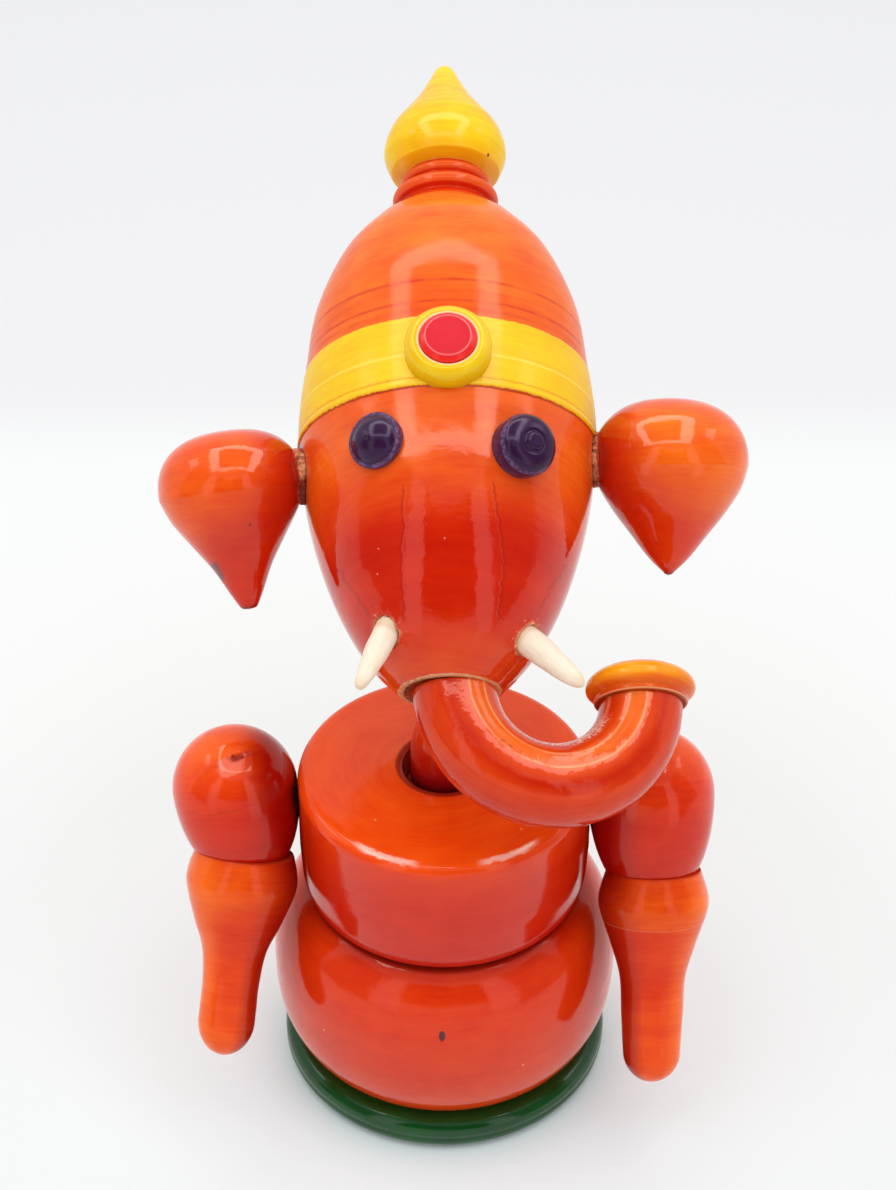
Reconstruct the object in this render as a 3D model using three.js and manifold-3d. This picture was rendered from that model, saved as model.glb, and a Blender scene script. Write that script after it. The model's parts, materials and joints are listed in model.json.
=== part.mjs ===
// Ganesha figure built from turned wooden pieces, lacquered and glued together.
// Millimetres, +Z up, the face towards -Y, origin at the middle of the base's underside.
import * as THREE from 'three';
import { mergeVertices } from 'three/addons/utils/BufferGeometryUtils.js';
import Module from 'manifold-3d';

const wasm = await Module();
wasm.setup();

const DEG = Math.PI / 180;
const GAP = 0.3; // clearance between pieces that touch

// Base disc
const BASE_RADIUS = 27.85;
const BASE_HEIGHT = 6;

// Body: barrel belly, groove and drum-shaped chest in one turning
const BELLY_RADIUS = 29.1;
const BELLY_CENTRE = 21.4; // height of the widest circle
const BELLY_HALF = 17.4; // half height of the barrel
const BELLY_ROUND = 12.25; // width of the rounded part of the barrel
const BELLY_POWER = 2.43; // 2 would be an ellipse, more is squarer
const CHEST_RADIUS = 24;
const CHEST_TOP = 61.8;
const NECK_HOLE_RADIUS = 6.7;
const NECK_HOLE_FLOOR = 58.2;

// Head: an egg lying back, measured along its axis from the snout end
const HEAD_TILT = 60.8 * DEG; // axis leans back this far from upright
const HEAD_ROLL = 0.45 * DEG;
const SNOUT_END = new THREE.Vector3(0.85, -12.04, 88.08);
const SNOUT_RADIUS = 8;
const EGG_RADIUS = 23.65;
const EGG_WIDEST = 43.2;
const EGG_LENGTH = 81.4;
const BAND_FROM = 41.4;
const BAND_LIP = 0.25; // how far the painted band's lower edge stands up
const FINIAL_RADIUS = 10.2;
const FINIAL_WIDEST = 95.7;
const FINIAL_TIP = 113.5;

// Trunk: half of a turned ring, sawn just below its middle
const TRUNK_RING = 14.8;
const TRUNK_TUBE = 6.5;
const TRUNK_TURN = -12.1 * DEG; // the ring's far side swings back from the face
const CUP_RADIUS = 8.6;
const CUP_HEIGHT = 6.4;

// Directions of the head: crown along its axis, face towards the viewer, side to +X
const crown = new THREE.Vector3(
  -Math.sin(HEAD_ROLL),
  Math.sin(HEAD_TILT) * Math.cos(HEAD_ROLL),
  Math.cos(HEAD_TILT) * Math.cos(HEAD_ROLL),
);
const face = new THREE.Vector3(0, -Math.cos(HEAD_TILT), Math.sin(HEAD_TILT));
const side = new THREE.Vector3().crossVectors(face, crown).normalize();
if (side.x < 0) side.negate();

const at = (radius, station) => new THREE.Vector2(radius, station);

// Smooth stretch of a profile through a few [radius, station] stations
function curve(stations, steps) {
  return new THREE.SplineCurve(stations.map(([r, s]) => at(r, s))).getPoints(steps);
}

// Elliptical stretch of a profile. Angle 0 points outward, 90 along the axis.
// power 2 is an ellipse, a larger one is squarer.
function round(centre, halfRadius, halfStation, from, to, steps, power = 2) {
  const points = [];
  for (let i = 0; i <= steps; i += 1) {
    const angle = (from + ((to - from) * i) / steps) * DEG;
    const out = Math.abs(Math.cos(angle)) ** (2 / power);
    const along = Math.sign(Math.sin(angle)) * Math.abs(Math.sin(angle)) ** (2 / power);
    points.push(at(centre.x + halfRadius * out, centre.y + halfStation * along));
  }
  return points;
}

// Solid of revolution about +Z from a profile that starts and ends on the axis
function turned(profile, segments) {
  const geometry = new THREE.LatheGeometry(profile, segments);
  geometry.rotateX(Math.PI / 2);
  return geometry;
}

// Moves a piece made about +Z onto an axis: its +Z goes along the axis
function placed(geometry, origin, axis) {
  const turn = new THREE.Quaternion().setFromUnitVectors(new THREE.Vector3(0, 0, 1), axis);
  geometry.applyQuaternion(turn);
  geometry.translate(origin.x, origin.y, origin.z);
  return geometry;
}

function solid(geometry) {
  const bare = geometry.clone();
  bare.deleteAttribute('normal');
  bare.deleteAttribute('uv');
  const joined = mergeVertices(bare, 1e-4);
  const index = joined.index.array;
  const kept = [];
  for (let i = 0; i < index.length; i += 3) {
    const [a, b, c] = [index[i], index[i + 1], index[i + 2]];
    if (a !== b && b !== c && c !== a) kept.push(a, b, c);
  }
  return new wasm.Manifold(
    new wasm.Mesh({
      numProp: 3,
      vertProperties: new Float32Array(joined.attributes.position.array),
      triVerts: new Uint32Array(kept),
    }),
  );
}

function geometryOf(manifold) {
  const mesh = manifold.getMesh();
  const geometry = new THREE.BufferGeometry();
  geometry.setAttribute('position', new THREE.BufferAttribute(mesh.vertProperties, 3));
  geometry.setIndex(new THREE.BufferAttribute(mesh.triVerts, 1));
  return geometry;
}

const without = (geometry, ...cutters) =>
  geometryOf(cutters.reduce((left, cutter) => left.subtract(solid(cutter)), solid(geometry)));

const joinedWith = (geometry, other) => geometryOf(solid(geometry).add(solid(other)));

// Half space beyond a plane, as a large block to cut with
function beyond(point, direction) {
  const size = 120;
  const block = new THREE.BoxGeometry(size, size, size);
  block.translate(0, 0, size / 2);
  return placed(block, point, direction);
}

const figure = new THREE.Group();
figure.name = 'ganesha_figure';

function add(name, geometry, color, roughness = 0.25) {
  const material = new THREE.MeshStandardMaterial({ color, roughness, metalness: 0 });
  material.name = name;
  const mesh = new THREE.Mesh(geometry, material);
  mesh.name = name;
  figure.add(mesh);
}

const RED = '#d8330f';
const ORANGE = '#ec5a1c';
const GREEN = '#0f7a3c';
const YELLOW = '#f2c21a';
const CRIMSON = '#d81e2e';
const PURPLE = '#3a1f3f';
const AMBER = '#e0851a';
const BARE_WOOD = '#ecd9b8';

// Base
const baseProfile = [
  at(0, 0),
  ...round(at(BASE_RADIUS - 2.8, 2.6), 2.8, 2.6, -90, 0, 3),
  ...round(at(BASE_RADIUS - 2.2, BASE_HEIGHT - 2.2), 2.2, 2.2, 0, 90, 3),
  at(0, BASE_HEIGHT),
];
add('base', turned(baseProfile, 32), GREEN);

// Body
const barrelAngle = (height) =>
  Math.asin(Math.sign(height - BELLY_CENTRE)
    * (Math.abs(height - BELLY_CENTRE) / BELLY_HALF) ** (BELLY_POWER / 2)) / DEG;
const chestProfile = [
  at(20.2, 38.3),
  at(22.5, 38.9),
  at(23.3, 39.7),
  at(23.7, 41.6),
  at(CHEST_RADIUS, 47),
  at(CHEST_RADIUS, 55),
  ...round(at(CHEST_RADIUS - 2.05, CHEST_TOP - 1.85), 1.85, 1.85, 0, 85, 3),
];
const bodyProfile = [
  at(0, BASE_HEIGHT + GAP),
  ...round(
    at(BELLY_RADIUS - BELLY_ROUND, BELLY_CENTRE),
    BELLY_ROUND,
    BELLY_HALF,
    barrelAngle(BASE_HEIGHT + GAP),
    barrelAngle(37.8),
    7,
    BELLY_POWER,
  ),
  ...chestProfile,
  at(NECK_HOLE_RADIUS + 0.9, CHEST_TOP + 1.05),
  at(NECK_HOLE_RADIUS + 0.2, CHEST_TOP + 0.9),
  at(NECK_HOLE_RADIUS, CHEST_TOP + 0.4),
  at(NECK_HOLE_RADIUS - 0.3, NECK_HOLE_FLOOR),
  at(0, NECK_HOLE_FLOOR),
];
add('body', turned(bodyProfile, 32), RED);

// Egg of the head and the same egg a gap larger, to fit the other pieces against
const eggStations = [
  [SNOUT_RADIUS, 0],
  [13.5, 6.5],
  [18.45, 16.3],
  [22.2, 29.3],
  [EGG_RADIUS, EGG_WIDEST],
  [22.6, 55.4],
  [21.15, 65.1],
  [17.1, 74.9],
  [11.8, EGG_LENGTH],
];
const egg = new THREE.SplineCurve(eggStations.map(([r, s]) => at(r, s)));
const eggRadius = (station) => {
  let [low, high] = [0, 1];
  for (let i = 0; i < 30; i += 1) {
    const middle = (low + high) / 2;
    if (egg.getPoint(middle).y < station) low = middle;
    else high = middle;
  }
  return egg.getPoint(low).x;
};
const eggStretch = (from, to, steps) => {
  const points = [];
  for (let i = 0; i <= steps; i += 1) {
    const station = from + ((to - from) * i) / steps;
    points.push(at(eggRadius(station), station));
  }
  return points;
};
const lipped = (station) => at(eggRadius(station) + BAND_LIP, station);
const bead = (radius, station, half) => round(at(radius - half, station), half, half, -70, 70, 2);
const headProfile = [
  at(0, 0),
  ...eggStretch(0, BAND_FROM - 0.5, 6),
  lipped(BAND_FROM),
  ...eggStretch(BAND_FROM + 0.8, EGG_LENGTH, 6),
  at(8.2, 84.3),
  at(7.4, 85.4),
  ...bead(8.74, 86.8, 1.2),
  at(6.9, 88.4),
  ...bead(7.4, 89.9, 1.0),
  at(6.6, 91.3),
  ...curve([
    [9.0, 92.1],
    [FINIAL_RADIUS, FINIAL_WIDEST],
    [9.15, 99.9],
    [6.7, 103.5],
    [4.5, 106.6],
    [2.8, 109.7],
    [1.45, 112.3],
    [0, FINIAL_TIP],
  ], 9),
];
const SEGMENTS = 32;
const onHead = (geometry) => placed(geometry, SNOUT_END, crown);
const roomyEgg = () => onHead(turned([
  at(0, -GAP),
  ...eggStretch(0, EGG_LENGTH, 14).map((p) => at(p.x + GAP + BAND_LIP * 0.6, p.y)),
  at(0, EGG_LENGTH + GAP),
], SEGMENTS));

// Point and outward direction on the egg, at an angle from the middle of the face
function eggSpot(station, angle) {
  const out = face.clone().multiplyScalar(Math.cos(angle * DEG))
    .addScaledVector(side, Math.sin(angle * DEG));
  const slope = eggRadius(station + 0.5) - eggRadius(station - 0.5);
  const point = SNOUT_END.clone().addScaledVector(crown, station)
    .addScaledVector(out, eggRadius(station));
  const normal = out.clone().addScaledVector(crown, -slope).normalize();
  return { point, normal };
}

// Tusks: bare wooden pegs driven into drilled holes
const TUSK_ROOT = 3.6;
const tusks = [
  {
    name: 'tusk_left', spot: eggSpot(6.38, -45.2), lean: [-0.378, 0.904, 0.2],
    long: 11.1, radius: 1.95, tip: 0.7,
  },
  {
    name: 'tusk_right', spot: eggSpot(6.23, 62.9), lean: [0.669, 0.707, 0.25],
    long: 12.4, radius: 2.25, tip: 0.55,
  },
];
const tuskHoles = [];
for (const tusk of tusks) {
  const [sideways, forward, up] = tusk.lean;
  const axis = side.clone().multiplyScalar(sideways)
    .addScaledVector(crown, -forward)
    .addScaledVector(face, up)
    .normalize();
  const hole = new THREE.CylinderGeometry(tusk.radius + 0.35, tusk.radius + 0.35, 12, 12);
  hole.rotateX(Math.PI / 2);
  hole.translate(0, 0, 6);
  const holeStart = tusk.spot.point.clone().addScaledVector(axis, -TUSK_ROOT - GAP);
  tuskHoles.push(placed(hole, holeStart, axis));
  const profile = [
    at(0, -TUSK_ROOT),
    at(tusk.radius, -TUSK_ROOT),
    ...curve([
      [tusk.radius, 1],
      [tusk.radius * 0.92, tusk.long * 0.45],
      [tusk.radius * 0.62, tusk.long * 0.82],
      [tusk.tip, tusk.long - 0.5],
    ], 4),
    at(0, tusk.long),
  ];
  tusk.geometry = placed(turned(profile, 12), tusk.spot.point, axis);
}

add('head', without(onHead(turned(headProfile, SEGMENTS)), ...tuskHoles), ORANGE);
for (const tusk of tusks) add(tusk.name, tusk.geometry, BARE_WOOD, 0.6);

// Neck peg, standing in the chest's hole and running up to the underside of the head
const neckProfile = [
  at(0, NECK_HOLE_FLOOR + GAP),
  at(5.2, NECK_HOLE_FLOOR + GAP),
  ...curve([
    [5.6, 61.5],
    [5.5, 66],
    [5.15, 68.8],
    [4.5, 71.5],
    [3.7, 76],
    [3, 84],
  ], 5),
  at(0, 84),
];
add('neck_peg', without(turned(neckProfile, 16), roomyEgg()), RED);

// Buttons glued on the face: their undersides follow the egg
const SEAT = -2.2; // each button is turned long and hollowed to fit
const button = (profile, segments, spot) => without(
  placed(turned([at(0, SEAT), at(profile[0].x, SEAT), ...profile], segments), spot.point, spot.normal),
  roomyEgg(),
);

const eyeLeftProfile = [
  at(4.3, 0.2),
  at(4.4, 0.95),
  at(3.85, 1.25),
  ...round(at(0.4, 1.25), 3.2, 2.2, 0, 75, 3),
  at(0, 3.65),
];
add('eye_left', button(eyeLeftProfile, 18, eggSpot(33.1, -28.1)), PURPLE, 0.2);

const eyeRightProfile = [
  at(4.75, 0.2),
  at(4.85, 2.1),
  at(4.55, 2.45),
  ...round(at(1.6, 2.45), 2.95, 1.75, 15, 80, 3),
  at(1.5, 4.15),
  at(1.3, 4.75),
  at(0, 4.85),
];
add('eye_right', button(eyeRightProfile, 18, eggSpot(32.0, 28.9)), PURPLE, 0.2);

const DISC_RADIUS = 6.65;
const DISC_HEIGHT = 3.3;
const STUD_RADIUS = 4.4;
const discSpot = eggSpot(46.9, 0.2);
const discProfile = [
  at(DISC_RADIUS, 0.3),
  at(DISC_RADIUS, 1.1),
  ...round(at(DISC_RADIUS - 1.75, 1.1), 1.7, DISC_HEIGHT - 1.1, 25, 90, 3),
  at(STUD_RADIUS + 0.25, DISC_HEIGHT),
  at(STUD_RADIUS + 0.25, DISC_HEIGHT - 0.7),
  at(0, DISC_HEIGHT - 0.7),
];
add('forehead_disc', button(discProfile, 20, discSpot), YELLOW);

const studProfile = [
  at(0, DISC_HEIGHT - 0.7 + GAP),
  at(STUD_RADIUS - 0.1, DISC_HEIGHT - 0.7 + GAP),
  at(STUD_RADIUS, DISC_HEIGHT + 0.35),
  at(3.5, DISC_HEIGHT + 1.1),
  at(3.1, DISC_HEIGHT + 1.25),
  at(0, DISC_HEIGHT + 1.25),
];
add('forehead_stud', placed(turned(studProfile, 20), discSpot.point, discSpot.normal), CRIMSON);

// Ears: turned teardrops on edge, each filed flat on the side that is glued to the head
const EAR_LEAN = 36 * DEG;
const ears = [
  {
    name: 'ear_left', centre: new THREE.Vector3(-33.48, 16.74, 105.31), lean: -0.146,
    radius: 11.65, top: 9.7, power: 2.43, drop: 18.7, waist: [10.12, 7.42, 4.69, 2.72],
    patch: 2.4, towards: 1,
  },
  {
    name: 'ear_right', centre: new THREE.Vector3(35.77, 20.89, 107.63), lean: 0.011,
    radius: 12.4, top: 10.5, power: 2.31, drop: 17.5, waist: [11.38, 9.03, 6.06, 3.17],
    patch: 0.7, towards: -1,
  },
];
for (const ear of ears) {
  const axis = new THREE.Vector3(
    Math.sin(ear.lean),
    Math.sin(EAR_LEAN) * Math.cos(ear.lean),
    Math.cos(EAR_LEAN) * Math.cos(ear.lean),
  );
  const fractions = [0.2, 0.42, 0.64, 0.85];
  const drop = [[0.35, -ear.drop]];
  for (let i = 3; i >= 0; i -= 1) drop.push([ear.waist[i], -ear.drop * fractions[i]]);
  drop.push([ear.radius, 0]);
  const profile = [
    at(0, -ear.drop - 0.2),
    ...curve(drop, 6),
    ...round(at(0, 0), ear.radius, ear.top, 18, 90, 4, ear.power),
  ];
  profile[profile.length - 1].x = 0;
  const patch = new THREE.CylinderGeometry(4.5, 4.5, 22, 12);
  patch.rotateX(Math.PI / 2);
  patch.translate(0, 0, 11);
  const patchStart = ear.centre.clone().addScaledVector(axis, ear.patch);
  const glued = placed(patch, patchStart, new THREE.Vector3(ear.towards, 0, 0));
  const shell = placed(turned(profile, 18), ear.centre, axis);
  add(ear.name, without(joinedWith(shell, glued), roomyEgg()), ORANGE);
}

// Arms: a shoulder ball and a forearm, turned apart and glued end to end
const roomyChest = () => turned([
  at(0, 36),
  ...chestProfile.map((p) => at(p.x + GAP, p.y)),
  at(0, CHEST_TOP + GAP),
], SEGMENTS);
const arms = [
  {
    name: 'left', elbow: new THREE.Vector3(-32.77, -5.26, 48.52), axis: [0.1177, 0.4738, 0.8727],
    long: 35.2,
    stations: [[4.7, 9], [4.71, 12.3], [5.37, 18.2], [7.33, 23.5], [9.11, 29.3], [8.85, 32.6]],
    hand: 4.72, handHigh: 5.85, top: 7.9,
    ball: new THREE.Vector3(-34.28, 0, 57.77), ballLean: -0.174, ballTilt: 30,
    ballRadius: 10.27, ballTop: 10.3, ballDrop: 16.3,
  },
  {
    name: 'right', elbow: new THREE.Vector3(34.49, -6.24, 45.49), axis: [0.001, 0.4924, 0.8704],
    long: 36.5,
    stations: [[5.0, 9.5], [5.15, 12], [5.49, 18.2], [7.08, 23.9], [9.07, 30.2], [8.65, 33.7]],
    hand: 4.77, handHigh: 5.05, top: 7.55,
    ball: new THREE.Vector3(33.9, 0, 56.3), ballLean: -0.02, ballTilt: 30,
    ballRadius: 10.4, ballTop: 10.95, ballDrop: 18.7,
  },
];
for (const arm of arms) {
  const axis = new THREE.Vector3(...arm.axis).normalize();
  const tip = arm.elbow.clone().addScaledVector(axis, -arm.long);
  const forearm = [
    ...round(at(0, arm.handHigh), arm.hand, arm.handHigh, -90, 0, 3),
    ...curve(arm.stations, 6),
    at(arm.top + 0.35, arm.long - 0.55),
    at(arm.top - 0.2, arm.long),
    at(0, arm.long),
  ];
  forearm[0].x = 0;
  const tilt = arm.ballTilt * DEG;
  const ballAxis = new THREE.Vector3(
    Math.sin(arm.ballLean),
    Math.sin(tilt) * Math.cos(arm.ballLean),
    Math.cos(tilt) * Math.cos(arm.ballLean),
  );
  const ball = [
    ...round(at(0, 0), arm.ballRadius, arm.ballDrop, -90, 0, 7),
    ...round(at(0, 0), arm.ballRadius, arm.ballTop, 18, 90, 4),
  ];
  ball[0].x = 0;
  ball[ball.length - 1].x = 0;
  const below = beyond(arm.elbow.clone().addScaledVector(axis, GAP), axis.clone().negate());
  const shoulder = placed(turned(ball, 20), arm.ball, ballAxis);
  add(`shoulder_${arm.name}`, without(shoulder, below, roomyChest()), RED);
  add(`forearm_${arm.name}`, placed(turned(forearm, 18), tip, axis), ORANGE);
}

// Trunk and the cup on its far end
class RingArc extends THREE.Curve {
  constructor(centre, start, down, radius, from, to) {
    super();
    Object.assign(this, { centre, start, down, radius, from, to });
  }

  getPoint(t, target = new THREE.Vector3()) {
    const angle = this.from + (this.to - this.from) * t;
    return target.copy(this.centre)
      .addScaledVector(this.start, this.radius * Math.cos(angle))
      .addScaledVector(this.down, this.radius * Math.sin(angle));
  }
}
const across = side.clone().multiplyScalar(Math.cos(TRUNK_TURN))
  .addScaledVector(face, Math.sin(TRUNK_TURN));
const trunkRoot = SNOUT_END.clone().addScaledVector(side, 0.78).addScaledVector(face, 0.25);
const ringCentre = trunkRoot.clone().addScaledVector(across, TRUNK_RING).addScaledVector(crown, 0.67);
const ringPath = new RingArc(
  ringCentre,
  across.clone().negate(),
  crown.clone().negate(),
  TRUNK_RING,
  -5 * DEG,
  185 * DEG,
);
const tubeOutline = new THREE.Shape();
tubeOutline.absarc(0, 0, TRUNK_TUBE, 0, 2 * Math.PI, false);
const halfRing = new THREE.ExtrudeGeometry(tubeOutline, {
  steps: 16,
  curveSegments: 8,
  extrudePath: ringPath,
  bevelEnabled: false,
});
const sawn = beyond(SNOUT_END.clone().addScaledVector(crown, -GAP), crown);
add('trunk', without(halfRing, sawn), RED);

const cupProfile = [
  at(0, 0),
  at(7.1, 0),
  at(7.35, 0.25),
  ...round(at(3.2, 2.6), CUP_RADIUS - 3.2, 2.5, -58, 0, 2),
  ...round(at(0, 2.6), CUP_RADIUS, CUP_HEIGHT - 2.6, 22, 90, 4),
];
cupProfile[cupProfile.length - 1].x = 0;
const cupCentre = trunkRoot.clone().addScaledVector(across, 2 * TRUNK_RING);
cupCentre.addScaledVector(crown, -cupCentre.clone().sub(SNOUT_END).dot(crown));
add('trunk_cup', placed(turned(cupProfile, 22), cupCentre, crown), AMBER);

export default figure;
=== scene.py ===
# %% [markdown]
# # A Ganesha figure, turned on the lathe and lacquered
#
# The real object is a small wooden figure. Every part of it is a turning: a round foot, a barrel
# with a drum on top, an egg that lies back for the head, teardrops for the ears and clubs for the
# arms. The trunk is half of a turned ring. Sticks of coloured lac were pressed against the wood
# while it spun, so the colour lies in fine rings around each part's own axis.
#
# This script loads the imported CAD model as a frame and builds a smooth, detailed piece for each
# of its nodes. All sizes below are millimetres and become metres when a mesh is made.

import json
import math

import bmesh
import bpy
from mathutils import Euler, Matrix, Vector, noise

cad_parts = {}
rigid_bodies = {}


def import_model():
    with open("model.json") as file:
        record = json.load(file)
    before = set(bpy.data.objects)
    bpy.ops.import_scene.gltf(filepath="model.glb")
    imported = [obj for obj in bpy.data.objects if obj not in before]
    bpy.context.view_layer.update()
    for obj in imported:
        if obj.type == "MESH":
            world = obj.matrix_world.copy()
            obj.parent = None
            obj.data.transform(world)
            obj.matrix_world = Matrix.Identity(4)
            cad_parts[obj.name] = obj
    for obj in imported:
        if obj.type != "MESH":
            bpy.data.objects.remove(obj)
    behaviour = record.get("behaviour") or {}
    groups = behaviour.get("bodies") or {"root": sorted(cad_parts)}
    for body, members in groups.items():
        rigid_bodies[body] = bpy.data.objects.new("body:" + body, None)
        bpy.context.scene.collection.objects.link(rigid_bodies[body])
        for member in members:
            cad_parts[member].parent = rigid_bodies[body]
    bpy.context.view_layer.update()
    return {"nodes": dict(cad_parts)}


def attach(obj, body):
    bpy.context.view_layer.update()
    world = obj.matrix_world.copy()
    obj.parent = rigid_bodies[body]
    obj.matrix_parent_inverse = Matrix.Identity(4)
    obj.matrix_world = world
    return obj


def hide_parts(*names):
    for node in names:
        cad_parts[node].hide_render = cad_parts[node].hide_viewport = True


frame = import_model()
MM = 0.001
print("CAD nodes:", len(frame["nodes"]))

# %% [markdown]
# ## The camera
#
# The photograph looks down on the figure from in front and rather close by, so the crown looks
# large and the foot small. A camera could be aimed at a target, but its place and its pitch were
# worked out from the foot's ellipse and the heights of the parts, so both are set as numbers.

# %% The camera
CAMERA_PLACE = Vector((0.58, -328.1, 356.0)) * MM
CAMERA_PITCH = math.radians(38.21)  # below the horizon
FOCAL_PIXELS = 2700  # for a picture 1190 pixels high
PICTURE_HEIGHT = 1190

camera_data = bpy.data.cameras.new("camera")
camera_data.sensor_width = 36
camera_data.lens = FOCAL_PIXELS / PICTURE_HEIGHT * 36
camera_data.clip_start = 0.01
camera = bpy.data.objects.new("camera", camera_data)
camera.location = CAMERA_PLACE
camera.rotation_euler = Euler((math.pi / 2 - CAMERA_PITCH, 0, 0))
bpy.context.scene.collection.objects.link(camera)
bpy.context.scene.camera = camera
print("lens in mm:", round(camera_data.lens, 2))

# %% [markdown]
# ## Shader arithmetic
#
# A procedural material is a long sum of small patterns. Wiring Math nodes by hand hides the sum,
# so a small class wraps an output socket and lets Python's own operators add the nodes. Every
# other node comes from one method, which takes the node's type, its settings and its inputs.


# %% Sockets that can be added and multiplied
class Wire:
    """An output socket. Arithmetic on it adds Math nodes to its tree."""

    def __init__(self, bench, socket):
        self.bench = bench
        self.socket = socket

    def math(self, operation, *values):
        return self.bench.node("Math", {"operation": operation}, *values)

    def __add__(self, other):
        return self.math("ADD", self, other)

    def __sub__(self, other):
        return self.math("SUBTRACT", self, other)

    def __rsub__(self, other):
        return self.math("SUBTRACT", other, self)

    def __mul__(self, other):
        return self.math("MULTIPLY", self, other)

    def __truediv__(self, other):
        return self.math("DIVIDE", self, other)

    def __pow__(self, other):
        return self.math("POWER", self, other)

    def __abs__(self):
        return self.math("ABSOLUTE", self)

    def clamped(self):
        return self.bench.node("Clamp", None, self)

    __radd__ = __add__
    __rmul__ = __mul__


class Bench:
    """A node tree on the workbench, with one method for any node."""

    def __init__(self, tree):
        self.tree = tree
        tree.nodes.clear()

    def put(self, kind, settings=None, *values, **named):
        node = self.tree.nodes.new("ShaderNode" + kind)
        settings = dict(settings or {})
        stops = settings.pop("stops", None)
        for key, value in settings.items():
            setattr(node, key, value)
        if stops:
            ramp = node.color_ramp
            while len(ramp.elements) < len(stops):
                ramp.elements.new(0.5)
            for element, (place, colour) in zip(ramp.elements, stops):
                element.position = place
                element.color = (*colour, 1)
        open_sockets = [socket for socket in node.inputs if socket.enabled]
        for socket, value in zip(open_sockets, values):
            self.feed(socket, value)
        for name, value in named.items():
            self.feed(node.inputs[name.replace("_", " ")], value)
        return node

    def node(self, kind, settings=None, *values, out=0, **named):
        made = self.put(kind, settings, *values, **named)
        shown = [socket for socket in made.outputs if socket.enabled]
        return Wire(self, shown[out])

    def feed(self, socket, value):
        if isinstance(value, Wire):
            self.tree.links.new(value.socket, socket)
        elif value is not None:
            socket.default_value = value

    def split(self, vector):
        made = self.put("SeparateXYZ", None, vector)
        return [Wire(self, socket) for socket in made.outputs]

    def mix(self, factor, first, second, blend="MIX"):
        first, second = [(*c, 1) if isinstance(c, tuple) else c for c in (first, second)]
        settings = {"data_type": "RGBA", "blend_type": blend}
        return self.node("Mix", settings, factor, first, second)

    def step(self, value, start, end):
        """0 before start, 1 past end, smooth between; start may be the larger one."""
        low, high, a, b = (start, end, 0, 1) if start < end else (end, start, 1, 0)
        settings = {"interpolation_type": "SMOOTHSTEP"}
        return self.node("MapRange", settings, value, low, high, a, b)

    def between(self, value, start, end, soft):
        """1 from start to end, with soft shoulders."""
        return self.step(value, start - soft, start + soft) * self.step(value, end + soft, end - soft)

    def ramp(self, value, stops):
        """Colours at chosen values, for example at stations along an axis."""
        low, high = stops[0][0], stops[-1][0]
        places = [((at - low) / (high - low), colour) for at, colour in stops]
        return self.node("ValToRGB", {"stops": places}, (value - low) / (high - low))


print("operators ready")

# %% [markdown]
# ## The stage
#
# The figure stands on a white sheet inside a small light tent. The lacquer is a mirror, so what
# matters is what it reflects: a frame of lamps overhead, the pale walls, two soft panels at the
# sides and the dark opening that the camera looks through. The walls are a world shader, because
# nothing but their brightness by direction counts, and the lamps are area lights, because they
# also have to light the wood from nearby.

# %% The white sheet
SHEET_HALF = 3.0  # metres, as are the distances in this cell
SHEET_CORNERS = ((-1, -1), (1, -1), (1, 1), (-1, 1))
sheet_mesh = bpy.data.meshes.new("sheet")
sheet_mesh.from_pydata([(x * SHEET_HALF, y * SHEET_HALF, 0) for x, y in SHEET_CORNERS], [], [(0, 1, 2, 3)])
sheet = bpy.data.objects.new("sheet", sheet_mesh)
bpy.context.scene.collection.objects.link(sheet)

sheet_material = bpy.data.materials.new("sheet_paper")
sheet_material.use_nodes = True
paper = Bench(sheet_material.node_tree)
across_sheet, along_sheet, _ = paper.split(paper.node("TexCoord", None, out=3))
from_foot = (across_sheet * across_sheet + along_sheet * along_sheet) ** 0.5
# Painted light: close to the foot the sheet is made brighter and a little blue, which lifts the contact
# shadow and cancels the red light that the figure throws on it.
SHEET_LIT_NEAR_FOOT = [  # its colour by the distance from the foot's middle
    (0.034, (0.87, 0.965, 0.985)),
    (0.050, (0.80, 0.862, 0.872)),
    (0.085, (0.748, 0.790, 0.788)),
    (0.120, (0.765, 0.785, 0.785)),
]
painted_light_near_foot = paper.ramp(from_foot, SHEET_LIT_NEAR_FOOT)
far_part = paper.step(along_sheet, 0.165, 0.205)
sheet_colour = paper.mix(far_part, painted_light_near_foot, (0.712, 0.717, 0.733))
shader = paper.put("BsdfPrincipled", None, Base_Color=sheet_colour, Roughness=0.7)
paper.put("OutputMaterial", None, Surface=Wire(paper, shader.outputs[0]))
sheet_mesh.materials.append(sheet_material)
print("sheet of", 2 * SHEET_HALF, "m")

# %% The tent's walls
DEGREE = math.pi / 180
world = bpy.data.worlds.new("tent")
world.use_nodes = True
bpy.context.scene.world = world
tent = Bench(world.node_tree)
east, north, up = tent.split(tent.node("TexCoord", None, out=0))
bearing = abs(east.math("ARCTAN2", east, 0 - north))
height = up.math("ARCSINE", up)
WALL = 0.72
CEILING = 0.40
FILL = 1.0
WALL_TOP = 50 * DEGREE
CEILING_START = 62 * DEGREE
OPENING_SILL = (14 * DEGREE, 18 * DEGREE)
OPENING_HALF = 29 * DEGREE
JAMB_END = 47 * DEGREE
GAP_END = 84 * DEGREE
walls = WALL + (CEILING - WALL) * tent.step(height, WALL_TOP, CEILING_START)
front = tent.step(height, 53 * DEGREE, WALL_TOP)
opening = tent.step(bearing, OPENING_HALF + 0.02, OPENING_HALF - 0.02) * front
opening = opening * tent.step(height, *OPENING_SILL)
dim_side = tent.between(bearing, JAMB_END, GAP_END, 0.05) * front
jamb = tent.between(bearing, OPENING_HALF, JAMB_END, 0.04) * front
mirrored = walls * (1 - 0.97 * opening) * (1 - 0.78 * dim_side) * (1 + 0.7 * jamb)
in_mirror = tent.node("LightPath", None, out=3)
brightness = FILL + (mirrored - FILL) * in_mirror
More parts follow.
